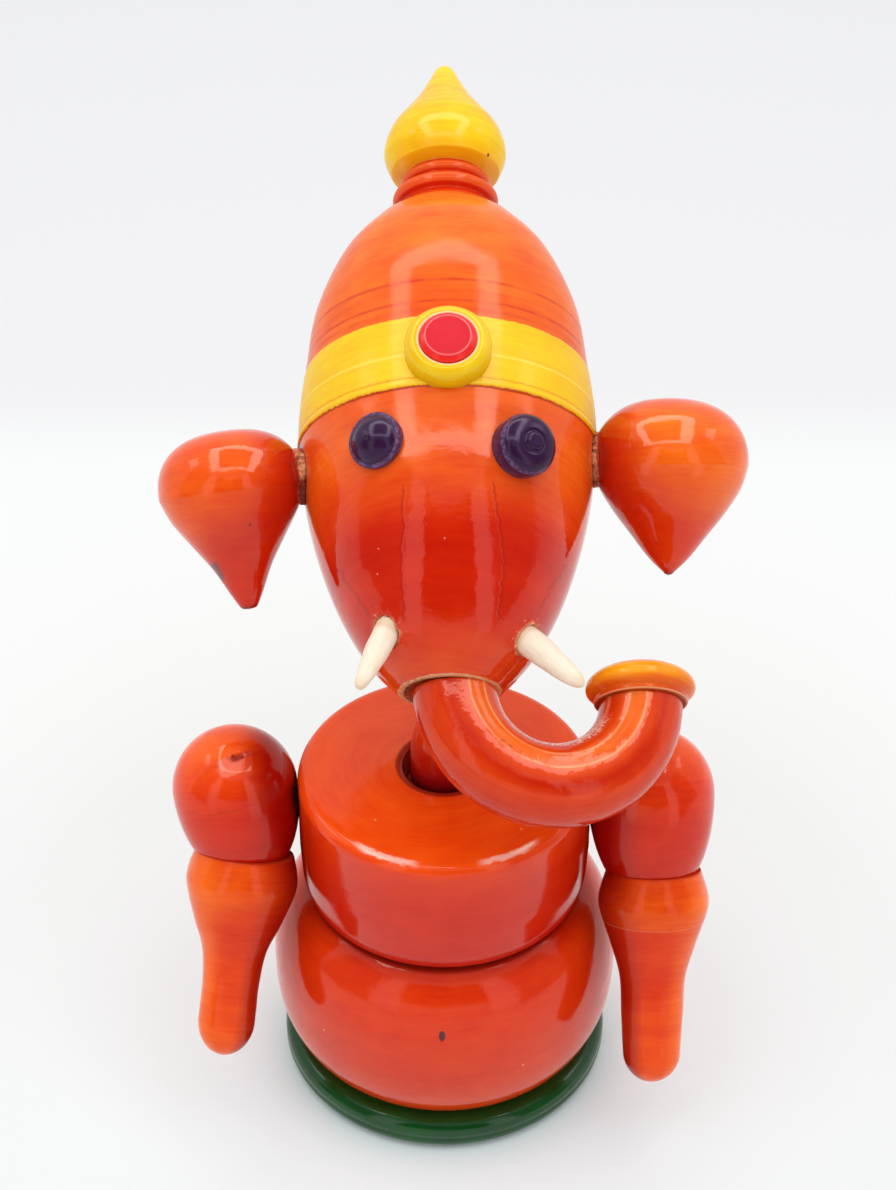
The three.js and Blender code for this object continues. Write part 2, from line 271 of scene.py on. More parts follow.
glow = tent.put("Background", None, Color=(1, 1, 1, 1), Strength=brightness)
tent.put("OutputWorld", None, Surface=Wire(tent, glow.outputs[0]))
print("walls", WALL, "ceiling", CEILING)

# %% The lamps
LAMP_HEIGHT = 300
LAMP_RADIANCE = 4.6
FRAME_OUTER = ((-140, -72), (128, 172))
FRAME_INNER = ((-84, -50), (70, 112))
PANEL_RADIANCE = 2.2
SOFT_BOX_RADIANCE = 0.9


def lamp(name, centre, direction, width, depth, radiance, mirror_only=True):
    data = bpy.data.lights.new(name, "AREA")
    data.shape = "RECTANGLE"
    data.size = width * MM
    data.size_y = depth * MM
    data.energy = radiance * math.pi * width * depth * MM * MM
    made = bpy.data.objects.new(name, data)
    made.location = Vector(centre) * MM
    made.rotation_euler = Vector(direction).to_track_quat("-Z", "Y").to_euler()
    made.visible_camera = False
    made.visible_diffuse = not mirror_only
    made.visible_glossy = mirror_only
    bpy.context.scene.collection.objects.link(made)


(west_out, south_out), (east_out, north_out) = FRAME_OUTER
(west_in, south_in), (east_in, north_in) = FRAME_INNER
strips = {
    "lamp_back": (west_out, east_out, north_in, north_out),
    "lamp_front": (west_out, east_out, south_out, south_in),
    "lamp_left": (west_out, west_in, south_in, north_in),
    "lamp_right": (east_in, east_out, south_in, north_in),
}
for name, (x0, x1, y0, y1) in strips.items():
    middle = ((x0 + x1) / 2, (y0 + y1) / 2, LAMP_HEIGHT)
    lamp(name, middle, (0, 0, -1), x1 - x0, y1 - y0, LAMP_RADIANCE)
for name, x in (("panel_left", -250), ("panel_right", 250)):
    lamp(name, (x, 80, 300), (-x, 0, 0), 110, 80, PANEL_RADIANCE)
lamp("soft_box", (0, 60, 750), (0, 0, -1), 900, 900, SOFT_BOX_RADIANCE, mirror_only=False)
print("lamps:", len(strips) + 3)

# %% [markdown]
# ## Profiles
#
# A turner works along a profile. Here a profile is a list of points: the radius, and the station
# along the axis. `spline` runs smoothly through a few stations, and `arc` is a stretch of an
# ellipse or of a squarer superellipse. `eased` rounds the corners of what they give, because no
# edge on the real figure is sharp and a rounded one catches the light. `filled` keeps the steps
# short, so that the wood can be out of round on straight stretches too.


# %% Stretches of a profile
def spline(stations, steps=14):
    """Smooth stretch through [radius, station] pairs, steps points to each span."""
    last = len(stations) - 1
    points = []
    for i in range(last):
        a, b, c, d = [Vector(stations[min(max(k, 0), last)]) for k in (i - 1, i, i + 1, i + 2)]
        lead, tail = (c - a) / 2, (d - b) / 2
        for j in range(steps):
            t = j / steps
            point = (2 * b - 2 * c + lead + tail) * t**3 + (3 * c - 3 * b - 2 * lead - tail) * t**2
            points.append(point + lead * t + b)
    points.append(Vector(stations[last]))
    return points


def arc(centre, out, along, start, end, steps=16, power=2.0):
    """Elliptical stretch. Angle 0 points outward, 90 along the axis; power 2 is an ellipse."""
    points = []
    for i in range(steps + 1):
        angle = math.radians(start + (end - start) * i / steps)
        x = abs(math.cos(angle)) ** (2 / power)
        y = math.copysign(abs(math.sin(angle)) ** (2 / power), math.sin(angle))
        points.append(Vector((centre[0] + out * x, centre[1] + along * y)))
    return points


def eased(points, ease=0.3, steps=4):
    """Rounds every corner of a profile that turns by more than 12 degrees."""
    points = [Vector(p) for p in points]
    points = [p for i, p in enumerate(points) if i == 0 or (p - points[i - 1]).length > 1e-4]
    out = [points[0]]
    for before, here, after in zip(points, points[1:], points[2:]):
        back, ahead = before - here, after - here
        if math.pi - back.angle(ahead) < math.radians(12):
            out.append(here)
            continue
        start = here + back.normalized() * min(ease, back.length * 0.45)
        end = here + ahead.normalized() * min(ease, ahead.length * 0.45)
        for i in range(steps + 1):
            t = i / steps
            out.append(start * (1 - t) ** 2 + here * 2 * t * (1 - t) + end * t * t)
    out.append(points[-1])
    return out


def filled(points, longest):
    """Adds points to straight stretches, so that no step is longer than this."""
    out = [points[0]]
    for a, b in zip(points, points[1:]):
        steps = max(1, math.ceil((b - a).length / longest))
        out += [a.lerp(b, (i + 1) / steps) for i in range(steps)]
    return out


print("a rounded corner has", len(eased([(0, 0), (1, 0), (1, 1)])) - 2, "points")

# %% [markdown]
# ## The lathe
#
# Turning follows one rule, which Geometry Nodes can state: take the profile's points, lay out a
# grid with one row for each point and one column for each position of the spinning wood, and move
# every grid point to its row's radius and its column's angle. The Screw modifier could do it too,
# but the tree also lets the wood be a little out of round, as hand-held tools leave it.


# %% Geometry node groups
class NodeGroup:
    """A group with named inputs, one method for any node, and one that closes it."""

    def __init__(self, name, **inputs):
        self.tree = bpy.data.node_groups.new(name, "GeometryNodeTree")
        sockets = self.tree.interface
        for title, kind in inputs.items():
            sockets.new_socket(title.replace("_", " "), in_out="INPUT", socket_type="NodeSocket" + kind)
        sockets.new_socket("Piece", in_out="OUTPUT", socket_type="NodeSocketGeometry")
        self.identifiers = {item.name: item.identifier for item in sockets.items_tree}
        self.given = self.tree.nodes.new("NodeGroupInput").outputs

    def add(self, kind, settings=None, **links):
        """Adds a node; a socket is named, or numbered as _0, _1 and so on."""
        node = self.tree.nodes.new(kind)
        for key, value in (settings or {}).items():
            setattr(node, key, value)
        for key, value in links.items():
            if key[1:].isdigit():
                socket = node.inputs[int(key[1:])]
            else:
                socket = next(s for s in node.inputs if s.enabled and s.name == key.replace("_", " "))
            if hasattr(value, "links"):
                self.tree.links.new(value, socket)
            else:
                socket.default_value = value
        return node

    def math(self, operation, a, b=0.0):
        return self.add("ShaderNodeMath", {"operation": operation}, _0=a, _1=b).outputs[0]

    def close(self, geometry):
        whole = self.add("GeometryNodeRealizeInstances", None, _0=geometry).outputs[0]
        finish = self.add("GeometryNodeSetMaterial", None, _0=whole, Material=self.given["Finish"])
        self.tree.links.new(finish.outputs[0], self.tree.nodes.new("NodeGroupOutput").inputs[0])
        return self

    def make(self, mesh, **values):
        """Runs the group on a mesh, with its inputs set, and gives the mesh that comes out."""
        blank = bpy.data.objects.new("blank", mesh)
        bpy.context.scene.collection.objects.link(blank)
        modifier = blank.modifiers.new("shaping", "NODES")
        modifier.node_group = self.tree
        for title, value in values.items():
            modifier[self.identifiers[title.replace("_", " ")]] = value
        return evaluated(blank)


def evaluated(*objects):
    """Mesh of the first object with its modifiers applied; all of them are then removed."""
    graph = bpy.context.evaluated_depsgraph_get()
    graph.update()
    mesh = bpy.data.meshes.new_from_object(objects[0].evaluated_get(graph), depsgraph=graph)
    for thing in objects:
        bpy.data.objects.remove(thing)
    return mesh


# %% The lathe as a node group
def lathe():
    inputs = {"Profile": "Geometry", "Positions": "Int", "Out_of_round": "Float"}
    group = NodeGroup("lathe", **inputs, Lumps_per_metre="Float", Finish="Material")
    add, math_node, given = group.add, group.math, group.given
    rows = add("GeometryNodeAttributeDomainSize", {"component": "MESH"}, _0=given["Profile"]).outputs[0]
    columns = math_node("ADD", given["Positions"], 1)
    grid = add("GeometryNodeMeshGrid", None, _2=rows, _3=columns)
    index = add("GeometryNodeInputIndex").outputs[0]
    row = math_node("FLOOR", math_node("DIVIDE", math_node("ADD", index, 0.5), columns))
    column = math_node("SUBTRACT", index, math_node("MULTIPLY", row, columns))
    place = add("GeometryNodeInputPosition").outputs[0]
    vectors = {"data_type": "FLOAT_VECTOR"}
    sample = add("GeometryNodeSampleIndex", vectors, _0=given["Profile"], Value=place, Index=row)
    taken = next(socket for socket in sample.outputs if socket.enabled)
    radius, _, station = add("ShaderNodeSeparateXYZ", None, _0=taken).outputs
    angle = math_node("MULTIPLY", math_node("DIVIDE", column, given["Positions"]), 2 * math.pi)
    cosine, sine = math_node("COSINE", angle), math_node("SINE", angle)

    def spun(out):
        x, y = math_node("MULTIPLY", out, cosine), math_node("MULTIPLY", out, sine)
        return add("ShaderNodeCombineXYZ", None, _0=x, _1=y, _2=station).outputs[0]

    lumps = given["Lumps per metre"]
    lump = add("ShaderNodeTexNoise", {"noise_dimensions": "3D"}, Vector=spun(radius), Scale=lumps, Detail=1)
    unevenness = math_node("SUBTRACT", lump.outputs[0], 0.5)
    unevenness = math_node("MULTIPLY", unevenness, given["Out of round"])
    fade = math_node("MINIMUM", math_node("MULTIPLY", radius, 500), 1)
    uneven_radius = math_node("ADD", radius, math_node("MULTIPLY", unevenness, fade))
    moved = add("GeometryNodeSetPosition", None, _0=grid.outputs[0], _2=spun(uneven_radius)).outputs[0]
    merged = add("GeometryNodeMergeByDistance", None, _0=moved, Distance=2e-6).outputs[0]
    return group.close(add("GeometryNodeSetShadeSmooth", None, _0=merged).outputs[0])


LATHE = lathe()
BLANK_WOOD = bpy.data.materials.new("blank_wood")  # until the piece is lacquered
print("lathe nodes:", len(LATHE.tree.nodes))


# %% Turning one piece
def place_at(origin, axis):
    """Matrix, in metres, from the lathe's own frame to the piece's place on the figure."""
    turn = Vector((0, 0, 1)).rotation_difference(Vector(axis)).to_matrix().to_4x4()
    return Matrix.Translation(Vector(origin) * MM) @ turn


def outward(mesh):
    """Makes a closed mesh's faces point outwards, after doubles are merged."""
    shape = bmesh.new()
    shape.from_mesh(mesh)
    bmesh.ops.remove_doubles(shape, verts=shape.verts, dist=1e-7)
    bmesh.ops.recalc_face_normals(shape, faces=shape.faces)
    if shape.calc_volume(signed=True) < 0:
        bmesh.ops.reverse_faces(shape, faces=shape.faces)
    for face in shape.faces:
        face.smooth = True
    shape.to_mesh(mesh)
    shape.free()
    return mesh


def turned(name, profile, place, positions=160, wobble=0.06, lumps=90):
    """Spins a profile on the lathe and puts the piece in its place on the figure."""
    line = bpy.data.meshes.new(name)
    points = [(p.x * MM, 0, p.y * MM) for p in profile]
    line.from_pydata(points, [(i, i + 1) for i in range(len(points) - 1)], [])
    unevenness = {"Out_of_round": wobble * MM, "Lumps_per_metre": float(lumps)}
    mesh = LATHE.make(line, Positions=positions, Finish=BLANK_WOOD, **unevenness)
    mesh.transform(place)
    mesh.name = name
    return outward(mesh)


test_peg = turned("test_peg", [Vector(p) for p in ((0, 0), (1, 0), (1, 1), (0, 1))], Matrix(), 8)
print("a test peg has", len(test_peg.polygons), "faces")
bpy.data.meshes.remove(test_peg)

# %% [markdown]
# ## Sawing, drilling and fitting
#
# A few turnings are cut after they leave the lathe. A flat saw cut is a bisected mesh with its
# hole closed. A seat that follows the round head is a boolean with a copy of the egg, which is
# slow on dense meshes, so the copy used for cutting is a coarse one.


# %% Cuts
def sawn(mesh, point, direction):
    """Takes away what lies beyond a plane and closes the cut."""
    shape = bmesh.new()
    shape.from_mesh(mesh)
    everything = shape.verts[:] + shape.edges[:] + shape.faces[:]
    plane = {"plane_co": Vector(point) * MM, "plane_no": Vector(direction)}
    cut = bmesh.ops.bisect_plane(shape, geom=everything, clear_outer=True, **plane)
    rim = [item for item in cut["geom_cut"] if isinstance(item, bmesh.types.BMEdge)]
    bmesh.ops.holes_fill(shape, edges=rim)
    shape.to_mesh(mesh)
    shape.free()
    return outward(mesh)


def combined(mesh, operation, *others):
    """Boolean of one mesh with others, one after the other."""
    things = [bpy.data.objects.new("blank", each) for each in (mesh, *others)]
    for thing in things:
        bpy.context.scene.collection.objects.link(thing)
    for helper in things[1:]:
        modifier = things[0].modifiers.new("cut", "BOOLEAN")
        modifier.operation = operation
        modifier.solver = "EXACT"
        modifier.object = helper
    made = evaluated(*things)
    made.name = mesh.name
    return outward(made)


# %% Handing a finished piece over
triangles = {}


def finished(node, mesh, material):
    """The mesh becomes the piece that stands for a CAD node."""
    mesh.materials.clear()
    mesh.materials.append(material)
    mesh.name = node + "_piece"
    piece = bpy.data.objects.new(node + "_piece", mesh)
    bpy.context.scene.collection.objects.link(piece)
    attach(piece, "root")
    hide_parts(node)
    triangles[node] = sum(len(face.vertices) - 2 for face in mesh.polygons)
    print(node, triangles[node], "triangles")


# %% [markdown]
# ## Lacquer
#
# Lac is a resin. It is rubbed on hot while the wood spins and then polished with a leaf, so it is
# very glossy, slightly see-through, and thicker in some rings than in others. The material reads
# the piece's own lathe frame: the radius and the station make rings, and a little of the plain
# position lets the rings wander. Wide rings and clouds change the colour, fine ones also stand up
# as turning lines in the bump. A bench keeps the colour laid so far, and `coat` lays one more.


# %% A lacquer bench
class Lacquer(Bench):
    """Patterns in the frame of one piece's lathe, in millimetres."""

    def __init__(self, name, place):
        self.material = bpy.data.materials.new(name)
        self.material.use_nodes = True
        super().__init__(self.material.node_tree)
        here = self.node("TexCoord", None, out=3)
        settings = {"vector_type": "TEXTURE"}
        self.spot = self.node("Mapping", settings, here, place.translation, place.to_euler(), (MM,) * 3)
        self.x, self.y, self.station = self.split(self.spot)
        self.radius = (self.x * self.x + self.y * self.y) ** 0.5
        self.colour = None

    def vector(self, operation, first, second):
        return self.node("VectorMath", {"operation": operation}, first, second)

    def noise(self, where, scale, detail=2.0):
        return self.node("TexNoise", {"noise_dimensions": "3D"}, where, scale, detail, 0.55)

    def rings(self, per_mm, wander=0.05, seed=0.0, detail=2.0):
        """Noise that runs around the axis, with so many rings to a millimetre."""
        first = self.radius * per_mm + self.x * wander
        second = self.station * per_mm + self.y * wander
        third = (self.x - self.y) * wander + seed
        return self.noise(self.node("CombineXYZ", None, first, second, third), 1.0, detail)

    def clouds(self, per_mm, seed=0.0, detail=3.0):
        return self.noise(self.vector("ADD", self.spot, (seed,) * 3), per_mm, detail)

    def patches(self, per_mm, seed, detail, start, end):
        """Clouds cut at a level, which leaves ragged patches."""
        return self.step(self.clouds(per_mm, seed, detail), start, end)

    def specks(self, per_mm=0.25, size=0.13, seed=0.0):
        """Sparse grains of dust caught in the lacquer; size is a radius in millimetres."""
        moved = self.vector("ADD", self.spot, (seed,) * 3)
        apart = self.node("TexVoronoi", {"feature": "F1"}, moved, None, per_mm, out=0)
        return self.step(apart, size * per_mm * 1.3, size * per_mm * 0.6)

    def drip(self, start, end, width=0.16, wander=0.7, seed=0.0):
        """Thin wavering line down the front, from one (across, station) point to another."""
        slope = (end[0] - start[0]) / (end[1] - start[1])
        where = self.node("CombineXYZ", None, seed, seed, self.station)
        sway = (self.noise(where, 0.9, 5.0) - 0.5) * 2 * wander
        apart = self.x - start[0] - (self.station - start[1]) * slope + sway
        low, high = sorted((start[1], end[1]))
        line = self.step(abs(apart), width * 1.5, width * 0.2)
        return line * self.between(self.station, low, high, 0.6) * self.step(self.y, 0.0, -2.0)

    def blot(self, point, half_sizes, ragged=0.35):
        """1 inside a small ragged spot around a point of the lathe's frame."""
        away = self.vector("DIVIDE", self.vector("SUBTRACT", self.spot, tuple(point)), half_sizes)
        size = self.node("VectorMath", {"operation": "LENGTH"}, away, out=0)
        size = size + (self.clouds(1.6 / max(half_sizes), 4, 2) - 0.5) * 2 * ragged
        return self.step(size, 1.15, 0.75)

    def lac(self, colour, seed, strength=1.0, wide=0.3):
        """A lacquer's colour: deeper where it lies thick, lighter where it is thin."""
        wide_rings = self.rings(wide, 0.05, seed) - 0.5
        fine_rings = self.rings(1.7, 0.16, seed + 3) - 0.5
        cloud = self.clouds(0.12, seed + 7) - 0.5
        tone = (0.5 + wide_rings * 0.9 + fine_rings * 0.65 + cloud * 1.2).clamped()
        shade = self.mix(tone, (0.87, 0.45, 0.45), (1.10, 1.55, 1.5))
        colour = self.mix(strength, colour, shade, "MULTIPLY")
        return self.mix(self.specks(seed=seed) * 0.6, colour, (0.9, 0.35, 0.2))

    def coat(self, mask, colour):
        """Lays a colour over the bench's own where the mask is 1."""
        self.colour = self.mix(mask, self.colour, colour)

    def spots(self, points, half_sizes, colour, strength=1.0, ragged=0.35):
        """Lays the same small spot at several points."""
        for point in points:
            self.coat(self.blot(point, half_sizes, ragged) * strength, colour)

    def relief(self, seed=0.0, lines=1.0, ripples=1.0):
        """Tool lines around the axis and the ripples of lac that was rubbed on hot."""
        fine = (self.rings(2.0, 0.15, seed, 3.0) - 0.5) * 0.006 * lines
        slow = (self.rings(0.35, 0.06, seed + 11, 1.0) - 0.5) * 0.02 * lines
        ripple = (self.clouds(0.22, seed + 13, 1.0) - 0.5) * 0.08 * ripples
        crinkle = (self.clouds(0.8, seed + 19, 2.0) - 0.5) * 0.02 * ripples
        return fine + slow + ripple + crinkle + self.specks(seed=seed) * 0.05

    def raw_wood(self, seed=0.0):
        """Bare end grain with dirt in its pores."""
        dirt = self.patches(0.45, seed + 8, 3.0, 0.48, 0.66)
        wood = self.mix(self.clouds(1.0, seed, 5.0), RAW_WOOD, (0.84, 0.44, 0.22))
        return self.mix(self.patches(3.4, seed + 5, 3.0, 0.55, 0.68) * (0.2 + dirt * 0.6), wood, RAW_DARK)

    def done(self, relief, gloss=0.06, specular=0.5, tint=(1, 1, 1), unpolished=None):
        """Closes the material. relief is a height in millimetres, unpolished a mask."""
        dulled = gloss + self.clouds(0.35, 17, 3.0) * gloss
        bump = self.node("Bump", None, Strength=1.0, Distance=MM, Height=relief)
        shader = self.put("BsdfPrincipled", None, Base_Color=self.colour, Roughness=dulled, Normal=bump)
        shader.inputs["IOR"].default_value = 1.5
        shader.inputs["Specular IOR Level"].default_value = specular
        shader.inputs["Specular Tint"].default_value = (*tint, 1)
        surface = Wire(self, shader.outputs[0])
        if unpolished:
            matte = self.node("BsdfDiffuse", None, self.colour)
            surface = self.node("MixShader", None, unpolished, surface, matte)
        self.put("OutputMaterial", None, Surface=surface)
        return self.material


# %% The colours, linear
RED = (0.57, 0.022, 0.003)
RED_DEEP = (0.42, 0.008, 0.002)
RED_SHADED = (0.30, 0.001, 0.001)
ORANGE = (0.82, 0.135, 0.011)
YELLOW = (0.86, 0.53, 0.014)
YELLOW_DEEP = (0.82, 0.33, 0.008)
YELLOW_PALE = (0.92, 0.72, 0.12)
GREEN = (0.003, 0.055, 0.008)
PURPLE = (0.030, 0.007, 0.036)
CREAM = (0.88, 0.62, 0.36)
RAW_WOOD = (0.60, 0.24, 0.11)
RAW_DARK = (0.10, 0.030, 0.018)
# Dark old glue; where the balls touch the chest it also paints the shade between the parts.
DARK_GLUE_AND_SHADE = (0.06, 0.012, 0.006)
WARM = (1.0, 0.76, 0.66)  # what a lamp's reflection takes on in see-through red lac
print("palette ready")

# %% [markdown]
# ## The foot
#
# A disc of wood with both edges rounded, in dark green. The barrel above it stands on its top
# face. A faint step half way up its edge is where the turner's tool stopped between the two
# roundings.

# %% The foot
UP = Vector((0, 0, 1))
BASE_RADIUS = 27.85
BASE_HEIGHT = 6.0
base_profile = eased(
    [
        (0, 0),
        *arc((BASE_RADIUS - 2.8, 2.6), 2.8, 2.6, -90, 0, 14),
        (BASE_RADIUS - 0.12, 3.1),
        (BASE_RADIUS, 3.6),
        *arc((BASE_RADIUS - 2.2, BASE_HEIGHT - 2.2), 2.2, 2.2, 5, 90, 14),
        (0, BASE_HEIGHT),
    ]
)
upright = place_at((0, 0, 0), UP)
base_mesh = turned("base", filled(base_profile, 1.2), upright, 220)
green = Lacquer("green_lacquer", upright)
green.colour = green.lac(GREEN, 1, 0.8, 0.6)
finished("base", base_mesh, green.done(green.relief(1), 0.08, 0.45))

# %% [markdown]
# ## The body
#
# Belly and chest are one turning: a barrel, a sharp groove and a drum with a shallow hole in its
# top for the neck. The barrel's side is a superellipse, which is squarer than a circle's arc.

# %% The body's shape
BELLY_RADIUS = 29.1
BELLY_CENTRE = 21.4
BELLY_HALF = 17.4
BELLY_ROUND = 12.25
BELLY_POWER = 2.43  # 2 would be an ellipse
BELLY_TOP = 37.8
CHEST_RADIUS = 24.0
CHEST_TOP = 61.8
NECK_HOLE_RADIUS = 6.7
NECK_HOLE_FLOOR = 58.2


def barrel_angle(height):
    part = (height - BELLY_CENTRE) / BELLY_HALF
    return math.degrees(math.asin(math.copysign(abs(part) ** (BELLY_POWER / 2), part)))


BELLY_MIDDLE = (BELLY_RADIUS - BELLY_ROUND, BELLY_CENTRE)
barrel_angles = (barrel_angle(BASE_HEIGHT), barrel_angle(BELLY_TOP))
body_profile = eased(
    [
        (0, BASE_HEIGHT),
        *arc(BELLY_MIDDLE, BELLY_ROUND, BELLY_HALF, *barrel_angles, 48, BELLY_POWER),
        (20.2, 38.3),
        (22.5, 38.9),
        (23.3, 39.7),
        (23.7, 41.6),
        (CHEST_RADIUS, 47),
        (CHEST_RADIUS, 55),
        *arc((CHEST_RADIUS - 2.05, CHEST_TOP - 1.85), 2.05, 1.85, 0, 84, 14),
        (NECK_HOLE_RADIUS + 0.9, CHEST_TOP + 1.05),
        (NECK_HOLE_RADIUS + 0.2, CHEST_TOP + 0.9),
        (NECK_HOLE_RADIUS, CHEST_TOP + 0.4),
        (NECK_HOLE_RADIUS - 0.3, NECK_HOLE_FLOOR),
        (0, NECK_HOLE_FLOOR),
    ],
    0.35,
)
body_mesh = turned("body", filled(body_profile, 0.9), upright, 300)
print("body:", len(body_profile), "points in the profile")

# %% [markdown]
# A knock has left an oval dark pit in the belly. A pit can be a normal map, but its outline would
# stay flat from the side, so vertices are really pressed in.


# %% Pressing dents
def pressed(mesh, place, point, direction, width, height, depth, rim=0.0):
    """Presses an oval pit, with a raised rim, into a mesh. All is in the lathe's frame, in mm."""
    centre = place @ (Vector(point) * MM)
    inward = -(place.to_3x3() @ Vector(direction)).normalized()
    axis = place.to_3x3() @ Vector((0, 0, 1))
    for vertex in mesh.vertices:
        away = (vertex.co - centre) / MM
        if away.length > 3 * max(width, height):
            continue
        up_part = away.dot(axis)
        flat = away - axis * up_part
        apart = math.hypot(flat.length / width, up_part / height)
        dip = depth * math.exp(-((apart * 1.25) ** 4))
        dip -= rim * math.exp(-(((apart - 1.35) / 0.3) ** 2))
        vertex.co += inward * dip * MM
    return mesh


BELLY_NICK = (-0.39, -28.4, 29.0)
pressed(body_mesh, upright, BELLY_NICK, (0, -0.97, 0.23), 0.5, 1.15, 0.35, 0.03)
print("body radius", BELLY_RADIUS, "nick at station", BELLY_NICK[2])

# %% The body's lacquer
BODY_CHIPS = ((-19.97, -21.15, 22.64), (12.95, -26.04, 19.53), (-11.0, -12.7, 62.2), (12.2, -14.6, 62.0))
SHADED_BALL_CONTACTS = ((-23.6, -3.0, 57.5), (23.6, -3.0, 57.5))
body = Lacquer("body_lacquer", upright)
body_base = body.ramp(
    body.station,
    [
        (6, (0.66, 0.040, 0.003)),
        (16, (0.66, 0.036, 0.003)),
        (27, (0.70, 0.034, 0.003)),
        (36, (0.72, 0.034, 0.003)),
        (39, RED_DEEP),
        (42, (0.58, 0.014, 0.002)),
        (55, (0.64, 0.020, 0.002)),
        (60, (0.74, 0.040, 0.003)),
        (61.7, (0.92, 0.080, 0.004)),
    ],
)
body.colour = body.lac(body_base, 5, 0.75)
top_face = body.step(body.station, 61.4, 61.9)
top_rings = body.step(body.rings(1.1, 0.04, 15, 3.0), 0.47, 0.60)
body.coat(top_face * top_rings * 0.15, ORANGE)
rim_radius = body.radius + (body.clouds(0.9, 31, 3.0) - 0.5) * 1.0
glints = body.between(body.x, -13.6, -4.6, 1.2) + body.between(body.x, 5.9, 14.3, 1.2)
glints = glints * body.between(rim_radius, 22.1, 23.1, 0.25) * body.step(body.y, -15, -17)
body.coat(glints * body.step(body.station, 60.7, 61.1) * 0.75, (1.0, 0.60, 0.48))
# Painted shade: the edge of the neck hole and the hole's wall are darkened.
hole_edge_shade = body.between(body.radius, 6.4, 8.0, 0.25) * body.step(body.station, 61.9, 62.3)
body.coat(hole_edge_shade * 0.75, (0.16, 0.004, 0.008))
body.coat(body.step(body.radius, 6.9, 6.5) * top_face, RED_DEEP)
# Painted shade: a dark line in the groove between the barrel and the drum.
body.coat(body.between(body.station, 37.6, 38.9, 0.3) * 0.7, (0.15, 0.004, 0.004))
body.spots([BELLY_NICK], (0.55, 0.8, 1.1), (0.10, 0.012, 0.020), 1.0, 0.15)
body.spots(BODY_CHIPS, (0.2, 0.2, 0.2), (0.9, 0.30, 0.12))
# Painted shade with the glue joint: dark spots where the balls touch the chest.
body.spots(SHADED_BALL_CONTACTS, (1.8, 2.2, 3.2), DARK_GLUE_AND_SHADE, 0.9, 0.5)
from_middle = abs(body.x)
beside_arms = body.step(from_middle, 21.9, 22.8)
beside_arms = beside_arms + body.step(body.station, 43, 41.4) * body.step(from_middle, 13, 18)
beside_arms = beside_arms.clamped() * body.between(body.station, 37.8, 61.2, 0.5)
finished("body", body_mesh, body.done(body.relief(5), 0.065, 0.5, WARM, beside_arms))

# %% [markdown]
# ## The head's frame
#
# Head, trunk, eyes, tusks and forehead disc are all placed from the egg's axis, which leans back.
# Three directions describe it: the crown along the axis, the face towards the viewer, and the
# side to the right of the picture.


# %% The head's frame
def leaning(lean, tilt):
    """Axis that leans back by tilt and to the side by lean, both in radians."""
    return Vector((math.sin(lean), math.sin(tilt) * math.cos(lean), math.cos(tilt) * math.cos(lean)))


HEAD_TILT = math.radians(60.8)
HEAD_ROLL = math.radians(0.45)
SNOUT_END = Vector((0.85, -12.04, 88.08))
crown = leaning(-HEAD_ROLL, HEAD_TILT)
face = Vector((0, -math.cos(HEAD_TILT), math.sin(HEAD_TILT)))
side = crown.cross(face).normalized()
SNOUT_RADIUS = 8.0
EGG_LENGTH = 81.4
BAND_FROM = 41.4
BAND_TO = 53.2
FINIAL_TIP = 113.5
LOWER_EGG = [(SNOUT_RADIUS, 0), (13.5, 6.5), (18.45, 16.3), (22.2, 29.3), (23.65, 43.2)]
UPPER_EGG = [(22.6, 55.4), (21.15, 65.1), (17.1, 74.9), (11.8, EGG_LENGTH)]
egg = spline(LOWER_EGG + UPPER_EGG, 24)
head_place = Matrix.Translation(SNOUT_END * MM) @ Matrix((side, -face, crown)).transposed().to_4x4()


def egg_radius(station):
    """The egg's radius at a distance from the snout end."""
    for low, high in zip(egg, egg[1:]):
        if low.y <= station <= high.y:
            return low.x + (high.x - low.x) * (station - low.y) / (high.y - low.y)
    return egg[0].x if station < 0 else egg[-1].x


def egg_spot(station, angle):
    """Point and outward direction on the egg, at an angle in degrees from the face's middle."""
    turn = math.radians(angle)
    out = face * math.cos(turn) + side * math.sin(turn)
    slope = egg_radius(station + 0.5) - egg_radius(station - 0.5)
    point = SNOUT_END + crown * station + out * egg_radius(station)
    return point, (out - crown * slope).normalized()


def egg_cutter():
    """A coarse copy of the egg, closed at both ends, to fit other pieces against."""
    profile = [Vector((0, -0.02)), *[Vector((p.x + 0.02, p.y)) for p in egg[::4]]]
    profile.append(Vector((0, EGG_LENGTH)))
    return turned("egg_cutter", profile, head_place, positions=120, wobble=0)


print("finial tip at", [round(v, 1) for v in SNOUT_END + crown * FINIAL_TIP])

# %% [markdown]
# ## The head
#
# The egg, its rings and the finial are one turning. The painted band starts at a small raised
# lip. The holes for the tusks are drilled afterwards, and the drill has torn the lacquer's edge
# into crumbs, which are pushed up from the dense mesh.

# %% The head's shape
FINIAL_RADIUS = 10.2
BAND_LIP = 0.28


def bead(radius, station, half):
    return arc((radius - half, station), half, half, -75, 75, 10)


def egg_between(start, end, steps, raised=0.0):
    span = end - start
    stations = [start + span * i / steps for i in range(steps + 1)]
    return [(egg_radius(station) + raised, station) for station in stations]


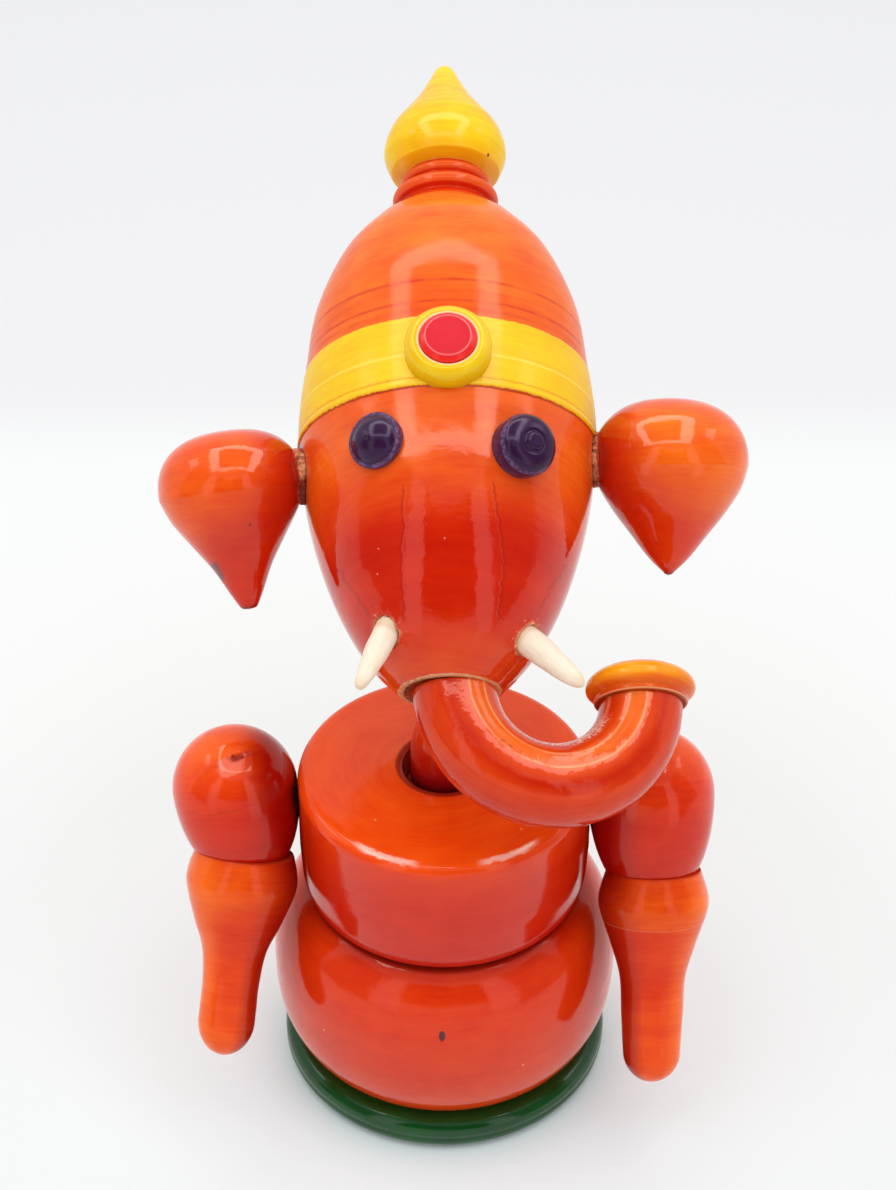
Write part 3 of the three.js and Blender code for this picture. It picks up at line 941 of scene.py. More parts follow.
FINIAL = [(9.0, 92.1), (FINIAL_RADIUS, 95.7), (9.15, 99.9), (6.7, 103.5), (4.5, 106.6)]
FINIAL_POINT = [(2.8, 109.7), (1.45, 112.3), (0, FINIAL_TIP)]
lip_radius = egg_radius(BAND_FROM) + BAND_LIP
head_profile = eased(
    [
        (0, 0.5),
        (5.5, 0.4),
        (SNOUT_RADIUS - 0.9, 0.0),
        (SNOUT_RADIUS - 0.25, 0.0),
        *egg_between(0.35, BAND_FROM - 0.55, 80),
        (lip_radius, BAND_FROM - 0.2),
        (lip_radius + 0.04, BAND_FROM + 0.2),
        (lip_radius - 0.1, BAND_FROM + 0.6),
        *egg_between(BAND_FROM + 1.0, BAND_TO - 0.3, 14, 0.09),
        *egg_between(BAND_TO + 0.1, EGG_LENGTH, 50),
        (8.2, 84.3),
        (7.4, 85.4),
        *bead(8.74, 86.8, 1.2),
        (6.9, 88.4),
        *bead(7.4, 89.9, 1.0),
        (6.6, 91.3),
        *spline(FINIAL + FINIAL_POINT, 8),
    ],
    0.3,
)
head_mesh = turned("head", filled(head_profile, 0.7), head_place, 236, 0.08, 70)
print("head:", len(head_profile), "points in the profile")

# %% The tusks' holes
TUSK_ROOT = 3.6
BORE_ROOM = 0.12
TUSKS = {
    "tusk_left": {
        "spot": (6.38, -45.2), "lean": (-0.378, 0.904, 0.2),
        "long": 11.1, "radius": 1.95, "tip": 0.7, "scuff": 0.5,
    },
    "tusk_right": {
        "spot": (6.23, 62.9), "lean": (0.669, 0.707, 0.25),
        "long": 12.4, "radius": 2.25, "tip": 0.55, "scuff": 0.9,
    },
}
CRUMB_REACH = 1.3


def crumbled(mesh, point, axis, bore):
    """Raises torn crumbs of lacquer and wood around a drilled hole."""
    for vertex in mesh.vertices:
        away = vertex.co / MM - point
        along = away.dot(axis)
        apart = (away - axis * along).length - bore
        if abs(along) > 4 or not -0.2 < apart < CRUMB_REACH:
            continue
        fade = 1 - max(apart, 0) / CRUMB_REACH
        torn = 0.16 + 0.5 * noise.noise(vertex.co / MM * 1.9)
        vertex.co += vertex.normal * max(torn, 0) * fade * MM


drills = []
for tusk in TUSKS.values():
    sideways, forward, upward = tusk["lean"]
    tusk["axis"] = (side * sideways - crown * forward + face * upward).normalized()
    tusk["point"], _ = egg_spot(*tusk["spot"])
    tusk["place"] = place_at(tusk["point"], tusk["axis"])
    bore = tusk["radius"] + BORE_ROOM
    drill = eased([(0, -TUSK_ROOT), (bore, -TUSK_ROOT), (bore + 0.1, 0.2), (bore + 1.0, 8), (0, 8)], 0.1)
    drills.append(turned("drill", drill, tusk["place"], 48, 0.6, 700))
head_mesh = combined(head_mesh, "DIFFERENCE", *drills)
for tusk in TUSKS.values():
    crumbled(head_mesh, tusk["point"], tusk["axis"], tusk["radius"] + BORE_ROOM)
print("head vertices:", len(head_mesh.vertices))

# %% [markdown]
# The head's colours change along its axis only, because each was laid on while it turned: red at
# the snout, orange at the brow, the yellow band, orange with thin dark rings, red crown rings and
# the yellow finial. So colour ramps over the station paint them all. The borders are a little
# ragged. On the face the lac has run in wavering seams, which are lines in front.

# %% The head's lacquer
head = Lacquer("head_lacquer", head_place)
along = head.station + (head.clouds(1.1, 2) - 0.5) * 0.5
skin = head.ramp(
    head.station,
    [
        (0, (0.66, 0.050, 0.005)),
        (3, (0.66, 0.042, 0.004)),
        (6, (0.60, 0.024, 0.003)),
        (9, (0.56, 0.014, 0.002)),
        (13, (0.60, 0.017, 0.002)),
        (16.5, (0.54, 0.011, 0.002)),
        (20, (0.59, 0.017, 0.002)),
        (23, (0.68, 0.040, 0.004)),
        (28, (0.77, 0.075, 0.005)),
        (34, (0.82, 0.105, 0.007)),
        (41, (0.80, 0.095, 0.006)),
        (58, (0.84, 0.120, 0.008)),
        (70, (0.84, 0.140, 0.011)),
        (82, (0.86, 0.165, 0.016)),
    ],
)
head.colour = head.lac(skin, 9, 0.85)
wavering = head.station + (along - head.station) * 0.3
DARK_RINGS = ((59.9, 0.26, 0.75), (56.0, 0.24, 0.75), (57.8, 0.12, 0.3), (54.4, 0.35, 0.4))
for stripe, half, strength in DARK_RINGS:
    broken = 0.35 + head.patches(0.25, stripe, 4.0, 0.36, 0.60) * 0.65
    line = head.between(wavering, stripe - half, stripe + half, 0.2)
    head.coat(line * broken * strength, (0.62, 0.022, 0.010))
print("dark rings:", len(DARK_RINGS))

# %% The band, the crown and the finial
skin_so_far = head.colour
head.colour = head.lac(YELLOW, 21, 0.3, 0.5)
head.coat(head.step(head.rings(2.2, 0.1, 25, 2.0), 0.56, 0.66) * 0.22, YELLOW_DEEP)
head.coat(head.between(head.station, 46.2, 46.6, 0.25) * 0.6, YELLOW_PALE)
head.coat(head.between(along, 42.2, 42.5, 0.12) * 0.7, (0.78, 0.22, 0.01))
band_colour, head.colour = head.colour, skin_so_far
head.coat(head.between(along, BAND_FROM - 0.35, BAND_TO, 0.12), band_colour)
# Painted shadow: a dark line just under the band's raised lip.
head.coat(head.between(along, BAND_FROM - 0.75, BAND_FROM - 0.45, 0.12) * 0.7, (0.30, 0.03, 0.006))
crests = head.between(head.radius, 8.35, 9.5, 0.12) + head.between(head.station, 89.2, 90.6, 0.3)
crown_colour = head.mix(crests * 0.45, head.lac((0.66, 0.026, 0.003), 31, 0.9, 0.8), (0.88, 0.16, 0.015))
head.coat(head.step(head.station, EGG_LENGTH + 1.4, EGG_LENGTH + 1.9), crown_colour)
finial_colour = head.ramp(
    head.station,
    [
        (91.2, (0.84, 0.300, 0.006)),
        (92.0, (0.87, 0.460, 0.006)),
        (94.0, (0.88, 0.520, 0.006)),
        (101, YELLOW),
        (113, (0.90, 0.62, 0.04)),
    ],
)
head.coat(head.step(head.station, 91.0, 91.4), head.lac(finial_colour, 41, 0.5, 0.6))
print("band from", BAND_FROM, "to", BAND_TO)

# %% Seams, specks and bare wood on the head
PAD_RADIUS = 4.5
EAR_CONTACTS = ((-1, (-33.83, 18.14, 107.23)), (1, (35.78, 21.30, 108.20)))
SEAMS = (
    ((-6.73, 25.5), (-7.1, 15.2)),
    ((-7.1, 15.2), (-6.6, 6.9)),
    ((6.63, 26.1), (8.33, 15.2)),
    ((8.33, 15.2), (7.36, 6.9)),
    ((-17.3, 17.5), (-12.0, 8.9)),
    ((18.2, 18.6), (13.8, 10.5)),
)
FACE_CHIPS = ((-0.64, -18.93, 17.6), (-10.6, -15.6, 17.4), (-10.8, -13.8, 14.05), (3.1, -21.0, 24.0))
FINIAL_CHIP = (7.06, -5.67, 92.3)
seams = sum(head.drip(*seam, 0.26, 0.8, seed * 3.7) for seed, seam in enumerate(SEAMS, 1)).clamped()
head.coat(seams * 0.45, (0.36, 0.008, 0.004))
head.spots(FACE_CHIPS, (0.14, 0.14, 0.14), (0.85, 0.35, 0.25), 0.7)
head.spots([FINIAL_CHIP], (0.3, 0.3, 0.3), (0.25, 0.03, 0.01))
bare = head.raw_wood(3)
snout_edge = head.step(head.station + (head.clouds(0.8, 8) - 0.5) * 0.3, 0.22, 0.1)
head.coat(snout_edge, bare)
# Painted shade: the snout's end face is darker next to the trunk; the dark crumbs on the left are dirt in
# the bare wood.
grime_and_trunk_shade = head.step(head.radius, 7.3, 6.9) * head.step(head.station, 0.5, 0.2) * 0.7
dark_crumbs = head.patches(1.5, 12, 4.0, 0.40, 0.62) * 0.5
grime_and_trunk_shade = grime_and_trunk_shade + head.step(head.x, -2.0, -4.5) * snout_edge * dark_crumbs
head.coat(grime_and_trunk_shade.clamped(), (0.13, 0.035, 0.022))
to_local = head_place.inverted()
for tusk in TUSKS.values():
    hole = to_local @ (tusk["point"] * MM) / MM
    head.coat(head.blot(hole, (tusk["radius"] + 0.55,) * 3, 0.25), bare)
    scuffed = head.blot(hole, (tusk["radius"] + 1.5,) * 3, 0.4) * head.patches(1.2, 33, 4.0, 0.58, 0.68)
    head.coat(scuffed * tusk["scuff"], (0.90, 0.40, 0.26))
for ear_side, ear_contact in EAR_CONTACTS:
    _, back, up_axis = to_local @ (Vector(ear_contact) * MM) / MM
    behind, above = head.y - back, head.station - up_axis
    apart = (behind * behind + above * above) ** 0.5
    contact = head.between(apart, PAD_RADIUS - 0.2, PAD_RADIUS + 0.35, 0.2)
    head.coat(contact * head.step(head.x * ear_side, 18, 20) * 0.85, (0.08, 0.014, 0.012))
gathered = 0.35 + head.step(head.station, 7.5, 4.5) * 0.9 + head.between(head.station, 19.5, 23.0, 0.8) * 0.8
wrinkles = (head.rings(0.9, 0.3, 77, 3.0) - 0.5) * 0.03 * gathered * head.step(head.station, 25, 22)
head_gloss = 0.032 + head.step(head.station, 20, 44) * 0.07
worn = head.step(head.station, 37, 42) * 0.3 + head.between(head.station, BAND_FROM, BAND_TO, 0.3) * 0.25
head_relief = head.relief(9) + wrinkles + seams * 0.02
finished("head", head_mesh, head.done(head_relief, head_gloss, 0.5, WARM, worn))

# %% [markdown]
# ## The tusks
#
# Two bare pegs of pale wood, whittled to a blunt point and pushed into their holes. The wood is
# dull, so it gets no lacquer, only grain along the peg and a tanned tip.

# %% The tusks
for node, tusk in TUSKS.items():
    reach, width = tusk["long"], tusk["radius"]
    taper = [(width, 0.8), (width * 0.98, reach * 0.3), (width * 0.80, reach * 0.62)]
    taper += [(width * 0.52, reach * 0.88), (tusk["tip"] * 0.9, reach - 0.35)]
    profile = eased([(0, -TUSK_ROOT), (width, -TUSK_ROOT), *spline(taper), (0, reach)], 0.55)
    mesh = turned(node, filled(profile, 0.4), tusk["place"], 72, 0.38, 240)
    wood = Lacquer(node + "_wood", tusk["place"])
    grain = wood.noise(wood.vector("MULTIPLY", wood.spot, (1.8, 1.8, 0.3)), 1.0, 4.0)
    wood.colour = wood.mix(grain, (0.79, 0.64, 0.46), (0.93, 0.84, 0.70))
    wood.coat(wood.step(wood.station, reach * 0.8, reach) * 0.5, (0.72, 0.47, 0.25))
    wood.coat(wood.step(wood.station, 0.9, 0.0) * 0.5, (0.66, 0.36, 0.18))
    wood.coat(wood.patches(0.8, 9, 3.0, 0.60, 0.72) * 0.2, (0.74, 0.50, 0.30))
    finished(node, mesh, wood.done(grain * 0.10, 0.38, 0.3))

# %% [markdown]
# ## The neck
#
# A thin tapered peg that stands in the chest's hole and carries the head. Its upper end is cut to
# the egg's underside.

# %% The neck
neck_profile = eased(
    [
        (0, NECK_HOLE_FLOOR),
        (5.2, NECK_HOLE_FLOOR),
        *spline([(5.6, 61.5), (5.5, 66), (5.15, 68.8), (4.5, 71.5), (3.7, 76), (3, 84)]),
        (0, 84),
    ]
)
neck_mesh = turned("neck_peg", filled(neck_profile, 1.0), upright, 96)
neck_mesh = combined(neck_mesh, "DIFFERENCE", egg_cutter())
neck = Lacquer("neck_lacquer", upright)
# Painted shade: the neck is near black low down in the chest's hole and lightens above it.
neck_colour_and_hole_shade = neck.ramp(
    neck.station,
    [
        (61, (0.13, 0.001, 0.004)),
        (65, (0.34, 0.004, 0.003)),
        (68, RED_DEEP),
        (72, (0.74, 0.050, 0.004)),
        (84, RED),
    ],
)
neck.colour = neck.lac(neck_colour_and_hole_shade, 15, 0.8, 0.6)
finished("neck_peg", neck_mesh, neck.done(neck.relief(15), 0.07, 0.5, WARM))

# %% [markdown]
# ## Eyes and forehead disc
#
# Small buttons, each turned on its own, so the two eyes differ: the left one is a dome with a
# narrow rim and a nib, the right one a thicker, flatter button with a wider nib. They are glued
# to the round head, so each is turned long and hollowed with the egg.

# %% The eyes
EYE_LEFT = [
    (4.3, 0.2),
    (4.45, 0.75),
    (4.3, 1.05),
    (3.8, 1.15),
    *spline([(3.65, 1.3), (3.1, 2.0), (2.2, 2.7), (1.2, 3.15), (0.62, 3.3)], 6),
    (0.5, 3.62),
    (0.3, 3.8),
    (0, 3.82),
]
EYE_RIGHT = [
    (4.75, 0.2),
    (4.85, 2.1),
    (4.62, 2.42),
    *arc((1.6, 2.45), 2.95, 1.75, 12, 80, 12),
    (1.62, 4.05),
    (1.42, 4.3),
    (1.3, 4.7),
    (1.0, 4.85),
    (0, 4.85),
]
EYES = (
    ("eye_left", EYE_LEFT, (33.1, -28.1), 3.85, 4.4),
    ("eye_right", EYE_RIGHT, (32.0, 28.9), 4.45, 4.75),
)
BUTTON_ROOT = 2.2


def button(node, outline, spot, positions=120):
    """Mesh and place of a button that sits on the egg at a station and an angle."""
    place = place_at(*egg_spot(*spot))
    profile = eased([(0, -BUTTON_ROOT), (outline[0][0], -BUTTON_ROOT), *outline], 0.2)
    mesh = turned(node, filled(profile, 0.4), place, positions, 0.07, 250)
    return combined(mesh, "DIFFERENCE", egg_cutter()), place


for node, outline, spot, rim_from, rim_to in EYES:
    mesh, place = button(node, outline, spot)
    purple = Lacquer(node + "_lacquer", place)
    purple.colour = purple.lac(PURPLE, 51, 1.0, 1.2)
    rim = purple.between(purple.radius, rim_from, rim_to, 0.1)
    dust = purple.patches(1.6, 4, 4.0, 0.40, 0.62)
    purple.coat(rim * (0.2 + dust * 0.55), (0.17, 0.09, 0.21))
    purple.coat(rim * purple.patches(1.1, 9, 2.0, 0.60, 0.66), (0.16, 0.05, 0.04))
    relief = purple.relief(51) + dust * rim * 0.08
    finished(node, mesh, purple.done(relief, 0.125, 0.34, (0.84, 0.7, 1.0)))

# %% The forehead disc and its stud
DISC_RADIUS = 6.65
DISC_HEIGHT = 3.3
STUD_RADIUS = 4.4
STUD_SEAT = DISC_HEIGHT - 0.7
DISC = [
    (DISC_RADIUS, 0.3),
    (DISC_RADIUS, 1.1),
    *arc((DISC_RADIUS - 1.75, 1.1), 1.75, DISC_HEIGHT - 1.1, 10, 90, 12),
    (STUD_RADIUS + 0.03, DISC_HEIGHT),
    (STUD_RADIUS + 0.03, STUD_SEAT),
    (0, STUD_SEAT),
]
disc_mesh, disc_place = button("forehead_disc", DISC, (46.9, 0.2), 140)
disc = Lacquer("disc_lacquer", disc_place)
disc.colour = disc.lac((0.82, 0.50, 0.004), 61, 0.35, 0.9)
disc.coat(disc.step(disc.radius, 4.86, 4.72), CREAM)
disc.coat(disc.step(disc.station, 0.9, 0.2) * 0.6, (0.66, 0.34, 0.004))
finished("forehead_disc", disc_mesh, disc.done(disc.relief(61), 0.11, 0.4, (1.0, 0.94, 0.66)))
stud_profile = eased(
    [
        (0, STUD_SEAT),
        (STUD_RADIUS - 0.1, STUD_SEAT),
        (STUD_RADIUS, DISC_HEIGHT + 0.25),
        (3.62, DISC_HEIGHT + 0.85),
        (3.3, DISC_HEIGHT + 0.95),
        (0, DISC_HEIGHT + 1.0),
    ],
    0.22,
)
stud_mesh = turned("forehead_stud", filled(stud_profile, 0.4), disc_place, 100)
crimson = Lacquer("crimson_lacquer", disc_place)
crimson.colour = crimson.lac((0.70, 0.012, 0.030), 71, 0.6, 0.9)
crimson.coat(crimson.step(crimson.radius, 3.55, 3.9), (0.82, 0.014, 0.010))
crimson.coat(crimson.between(crimson.radius, 3.44, 3.62, 0.10) * 0.4, (0.95, 0.30, 0.28))
finished("forehead_stud", stud_mesh, crimson.done(crimson.relief(71), 0.14, 0.5, WARM))

# %% [markdown]
# ## The ears
#
# Teardrops that lie back a little, point down. Each is joined to the side of the head by a short
# lumpy pad of bare wood and glue. Drop and pad become one mesh, and the egg is then taken out of
# it. The pad gets its own colour wherever the surface stands outside the drop's girth.

# %% The ears
EAR_LEAN = math.radians(36)
PAD_LENGTH = 22
WAIST_AT = (0.85, 0.64, 0.42, 0.2)  # parts of the drop's length, from the point up
EARS = {
    "ear_left": {
        "centre": (-33.48, 16.74, 105.31), "lean": -0.146, "radius": 11.65, "top": 9.7,
        "power": 2.43, "drop": 18.7, "waist": (2.72, 4.69, 7.42, 10.12), "tip": 1.6,
        "patch": 2.4, "towards": 1, "high": (0.82, 0.085, 0.005), "low": (0.60, 0.018, 0.002), "seed": 82,
    },
    "ear_right": {
        "centre": (35.77, 20.89, 107.63), "lean": 0.011, "radius": 12.4, "top": 10.5,
        "power": 2.31, "drop": 17.5, "waist": (3.17, 6.06, 9.03, 11.38), "tip": 0.8,
        "patch": 0.7, "towards": -1, "high": (0.86, 0.120, 0.006), "low": (0.68, 0.030, 0.003), "seed": 85,
    },
}


def ear_mesh(node, ear, place, axis):
    """Drop and pad in one mesh, cut to the egg."""
    reach, tip = ear["drop"], ear["tip"]
    drop = [(width, -reach * part) for part, width in zip(WAIST_AT, ear["waist"])]
    drop = spline([(tip, -reach + tip * 0.45), *drop, (ear["radius"], 0)], 10)
    cap = arc((0, 0), ear["radius"], ear["top"], 0, 90, 40, ear["power"])
    profile = eased([(0, -reach - 0.1), (tip * 0.75, -reach + 0.1), *drop, *cap[1:]], 0.4)
    profile[-1].x = 0
    mesh = turned(node, filled(profile, 0.7), place, 200, 0.18, 80)
    pad_start = Vector(ear["centre"]) + axis * ear["patch"]
    corners = ((0, 0), (PAD_RADIUS, 0), (PAD_RADIUS, PAD_LENGTH), (0, PAD_LENGTH))
    pad_profile = filled([Vector(corner) for corner in corners], 0.8)
    pad = turned("pad", pad_profile, place_at(pad_start, (ear["towards"], 0, 0)), 72, 1.1, 420)
    return combined(combined(mesh, "UNION", pad), "DIFFERENCE", egg_cutter())


def pad_mask(bench, ear):
    """1 where the surface stands outside the drop."""
    above = bench.station.math("MAXIMUM", bench.station, 0) / ear["top"]
    below = bench.station.math("MINIMUM", bench.station, 0) / (0.2 * ear["drop"])
    girth = (1 - above ** ear["power"]) ** (1 / ear["power"]) * ear["radius"]
    girth = girth + below * (ear["radius"] - ear["waist"][-1])
    return bench.step(bench.radius - girth, 0.15, 0.35)


for node, ear in EARS.items():
    axis = leaning(ear["lean"], EAR_LEAN)
    place = place_at(ear["centre"], axis)
    mesh = ear_mesh(node, ear, place, axis)
    bench = Lacquer(node + "_lacquer", place)
    inner = bench.x * ear["towards"]
    stops = [(-19, ear["low"]), (-9, ear["low"]), (1, ear["high"]), (12, ear["high"])]
    # Painted shade: through the ramp's lean and the mix below, the side towards the head is darker.
    base = bench.ramp(bench.station - inner * 0.55, stops)
    base = bench.mix(bench.step(inner, 3, 11) * 0.85, base, (0.48, 0.008, 0.002))
    bench.colour = bench.lac(base, ear["seed"], 0.85)
    pad = pad_mask(bench, ear)
    glue = bench.mix(bench.patches(1.8, 6, 5.0, 0.35, 0.7), (0.50, 0.115, 0.045), (0.86, 0.40, 0.21))
    bench.coat(pad, bench.mix(bench.patches(0.9, 16, 5.0, 0.52, 0.60) * 0.6, glue, DARK_GLUE_AND_SHADE))
    seam = bench.between(bench.radius, ear["radius"] - 0.35, ear["radius"] + 0.3, 0.15)
    bench.coat(seam * bench.step(inner, 9.5, 10.5) * 0.3, (0.18, 0.02, 0.012))
    bench.coat(bench.step(bench.station, 0.9 - ear["drop"], 0.2 - ear["drop"]) * 0.6, (0.14, 0.012, 0.008))
    if node == "ear_left":
        # Painted shade: the lower part of the left pad is dark crimson.
        bench.coat(pad * bench.step(bench.station, 1.6, -0.4) * 0.85, (0.13, 0.004, 0.006))
        bench.spots([(-3.9, -2.4, -12.0)], (1.1, 2.0, 2.6), (0.12, 0.03, 0.045), 0.8, 0.6)
        bench.spots([(3.05, -8.41, -5.6)], (0.25, 0.3, 0.3), (0.20, 0.02, 0.01))
    relief = bench.relief(ear["seed"], 1.2, 1.2) + pad * bench.clouds(1.4, 3, 4.0) * 0.4
    finished(node, mesh, bench.done(relief, 0.05, 0.5, WARM, pad * 0.8))

# %% [markdown]
# ## The arms
#
# A shoulder ball and a forearm were turned apart and glued end to end. The ball is sawn off at
# the elbow. Where the balls touch the chest, a dark spot paints the glue joint together with the
# shade between the parts. The left ball has a crater with a pale painted reflection around it.

# %% The arms
ARMS = {
    "left": {
        "elbow": (-32.77, -5.26, 48.52), "axis": (0.1177, 0.4738, 0.8727), "long": 35.2,
        "stations": [(4.7, 9), (4.71, 12.3), (5.37, 18.2), (7.33, 23.5), (9.11, 29.3), (8.85, 32.6)],
        "hand": 4.72, "hand_high": 5.85, "top": 7.9, "seed": 91, "fade": 3.0, "line": 0.0,
        "ball": (-34.28, 0, 57.77), "ball_lean": -0.174, "ball_radius": 10.27, "ball_top": 10.3,
        "ball_drop": 16.3, "towards": 1,
    },
    "right": {
        "elbow": (34.49, -6.24, 45.49), "axis": (0.001, 0.4924, 0.8704), "long": 36.5,
        "stations": [(5.0, 9.5), (5.15, 12), (5.49, 18.2), (7.08, 23.9), (9.07, 30.2), (8.65, 33.7)],
        "hand": 4.77, "hand_high": 5.05, "top": 7.55, "seed": 101, "fade": 0.4, "line": 0.1,
        "ball": (33.9, 0, 56.3), "ball_lean": -0.02, "ball_radius": 10.4, "ball_top": 10.95,
        "ball_drop": 18.7, "towards": -1,
    },
}
BALL_TILT = math.radians(30)
BORDER_BELOW = 8.6  # from the elbow down to where the forearm's colour changes
DENT = (2.47, -7.76, 6.3)
DENT_OUT = (0.23, -0.76, 0.61)
DENT_REFLECTION = (1.2, -8.6, 5.2)
TAIL = (4.3, -6.9, 6.4)


def forearm(hand, arm, axis):
    reach, top = arm["long"], arm["top"]
    club = eased(
        [
            *arc((0, arm["hand_high"]), arm["hand"], arm["hand_high"], -90, 0, 16),
            *spline(arm["stations"], 10),
            (top + 0.3, reach - 0.4),
            (top + 0.1, reach),
            (0, reach),
        ],
        0.5,
    )
    club[0].x = 0
    place = place_at(Vector(arm["elbow"]) - axis * reach, axis)
    mesh = turned("forearm", filled(club, 0.8), place, 150, 0.14)
    bench = Lacquer(f"forearm_{hand}_lacquer", place)
    border = reach - BORDER_BELOW
    base = bench.ramp(
        bench.station + (bench.clouds(0.3, 3) - 0.5) * 1.2,
        [
            (0, (0.84, 0.080, 0.005)),
            (8, (0.80, 0.060, 0.004)),
            (18, (0.74, 0.042, 0.003)),
            (border - arm["fade"], (0.70, 0.034, 0.003)),
            (border + arm["fade"], (0.78, 0.078, 0.005)),
            (reach, (0.74, 0.058, 0.004)),
        ],
    )
    inward = bench.x * arm["towards"] / bench.radius
    # Painted shade and light: the side towards the body takes RED_SHADED, the outer flank a lighter orange.
    base = bench.mix(bench.step(inward, 0.25, 0.95) * 0.85, base, RED_SHADED)
    base = bench.mix(bench.step(inward, -0.25, -0.85) * 0.7, base, (0.93, 0.130, 0.005))
    bench.colour = bench.lac(base, arm["seed"])
    bench.coat(bench.between(bench.station, border - 0.1, border + 0.1, 0.1) * arm["line"], CREAM)
    bench.coat(bench.step(bench.station, reach - 0.5, reach), (0.48, 0.030, 0.008))
    sawn_end = bench.step(bench.station, reach - 0.35, reach - 0.1)
    material = bench.done(bench.relief(arm["seed"], 1.2, 1.3), 0.07, 0.34, WARM, sawn_end)
    finished(f"forearm_{hand}", mesh, material)


def shoulder(hand, arm, axis):
    seed = arm["seed"] + 5
    lower = arc((0, 0), arm["ball_radius"], arm["ball_drop"], -90, 0, 70)
    upper = arc((0, 0), arm["ball_radius"], arm["ball_top"], 0, 90, 60)
    ball = [*lower, *upper[1:]]
    ball[0].x = ball[-1].x = 0
    place = place_at(arm["ball"], leaning(arm["ball_lean"], BALL_TILT))
    mesh = turned("shoulder", ball, place, 280, 0.2, 80)
    bench = Lacquer(f"shoulder_{hand}_lacquer", place)
    base = bench.ramp(
        bench.station,
        [
            (-12, (0.56, 0.012, 0.002)),
            (-3, (0.64, 0.020, 0.002)),
            (3, (0.78, 0.046, 0.003)),
            (10, (0.90, 0.095, 0.005)),
        ],
    )
    base = bench.mix(bench.step(bench.x * arm["towards"], 1.5, 7.5) * 0.92, base, RED_SHADED)
    bench.colour = bench.lac(base, seed)
    crater = None
    if hand == "left":
        mesh = pressed(mesh, place, DENT, DENT_OUT, 2.6, 2.3, 0.32)
        mesh = pressed(mesh, place, DENT, DENT_OUT, 1.3, 0.7, 0.55, 0.08)
        # Painted reflection: a pale, broken patch of lamp light around the dent.
        bench.spots([DENT_REFLECTION], (2.3, 1.8, 1.8), (0.95, 0.30, 0.21), 0.4, 0.6)
        crater = bench.blot(DENT, (1.5, 1.0, 0.8), 0.4) * 0.8
        bench.coat(crater, (0.17, 0.003, 0.007))
        bench.spots([TAIL], (1.6, 0.9, 0.5), (0.40, 0.02, 0.012), 0.6, 0.6)
        wave = (bench.clouds(0.25, 5, 2.0) - 0.5) * 2.5
        low_line = bench.between(bench.station + wave, -1.8, -1.6, 0.12)
        bench.coat(low_line * 0.3, (0.25, 0.008, 0.004))
    # Painted shade with the glue joint: a dark spot where the ball touches the chest.
    chest_side = Vector((-arm["towards"] * CHEST_RADIUS, -2.0, arm["ball"][2]))
    contact = place.inverted() @ (chest_side * MM) / MM
    bench.spots([contact], (2.6, 2.6, 4.2), DARK_GLUE_AND_SHADE, 0.9, 0.5)
    mesh = sawn(mesh, arm["elbow"], -axis)
    finished(f"shoulder_{hand}", mesh, bench.done(bench.relief(seed, 1.0, 1.4), 0.07, 0.5, WARM, crater))


for hand, arm in ARMS.items():
    arm_axis = Vector(arm["axis"]).normalized()
    forearm(hand, arm, arm_axis)
    shoulder(hand, arm, arm_axis)

# %% [markdown]
# ## The trunk and its cup
#
# The trunk is half of a ring that was turned on the lathe and sawn in two. A circle that follows
# an arc gives it. Its lacquer lies in rings around the ring's own axis, so they run along the
# trunk: raised lines with pale painted reflections of the lamps on them, an orange band between
# them and an inner edge with chips and a painted glint.

# %% The trunk's shape
TRUNK_RING = 14.8
TRUNK_TUBE = 6.5
TRUNK_TURN = math.radians(-12.1)
across = side * math.cos(TRUNK_TURN) + face * math.sin(TRUNK_TURN)
trunk_root = SNOUT_END + side * 0.78 + face * 0.25
ring_centre = trunk_root + across * TRUNK_RING + crown * 0.67
ring_turn = Matrix((across, -crown, across.cross(-crown).normalized())).transposed().to_4x4()
ring_place = Matrix.Translation(ring_centre * MM) @ ring_turn


def half_ring():
    """A circle that follows an arc."""
    inputs = {"Blank": "Geometry", "Ring_radius": "Float", "Tube_radius": "Float"}
    group = NodeGroup("half_ring", **inputs, Start_angle="Float", Sweep_angle="Float", Finish="Material")
    given = group.given
    turn = {"Start_Angle": given["Start angle"], "Sweep_Angle": given["Sweep angle"]}
    path = group.add("GeometryNodeCurveArc", None, Resolution=180, Radius=given["Ring radius"], **turn)
    radius = given["Tube radius"]
    section = group.add("GeometryNodeCurvePrimitiveCircle", None, Resolution=96, Radius=radius)
    curves = {"Curve": path.outputs[0], "Profile_Curve": section.outputs[0]}
    sweep = group.add("GeometryNodeCurveToMesh", None, Fill_Caps=True, **curves)
    return group.close(sweep.outputs[0])


radii = {"Ring_radius": TRUNK_RING * MM, "Tube_radius": TRUNK_TUBE * MM}
angles = {"Start_angle": math.radians(-6), "Sweep_angle": math.radians(192)}
trunk_mesh = half_ring().make(bpy.data.meshes.new("trunk_blank"), Finish=BLANK_WOOD, **radii, **angles)
trunk_mesh.transform(ring_place)
trunk_mesh = sawn(outward(trunk_mesh), SNOUT_END, crown)
print("trunk vertices:", len(trunk_mesh.vertices))

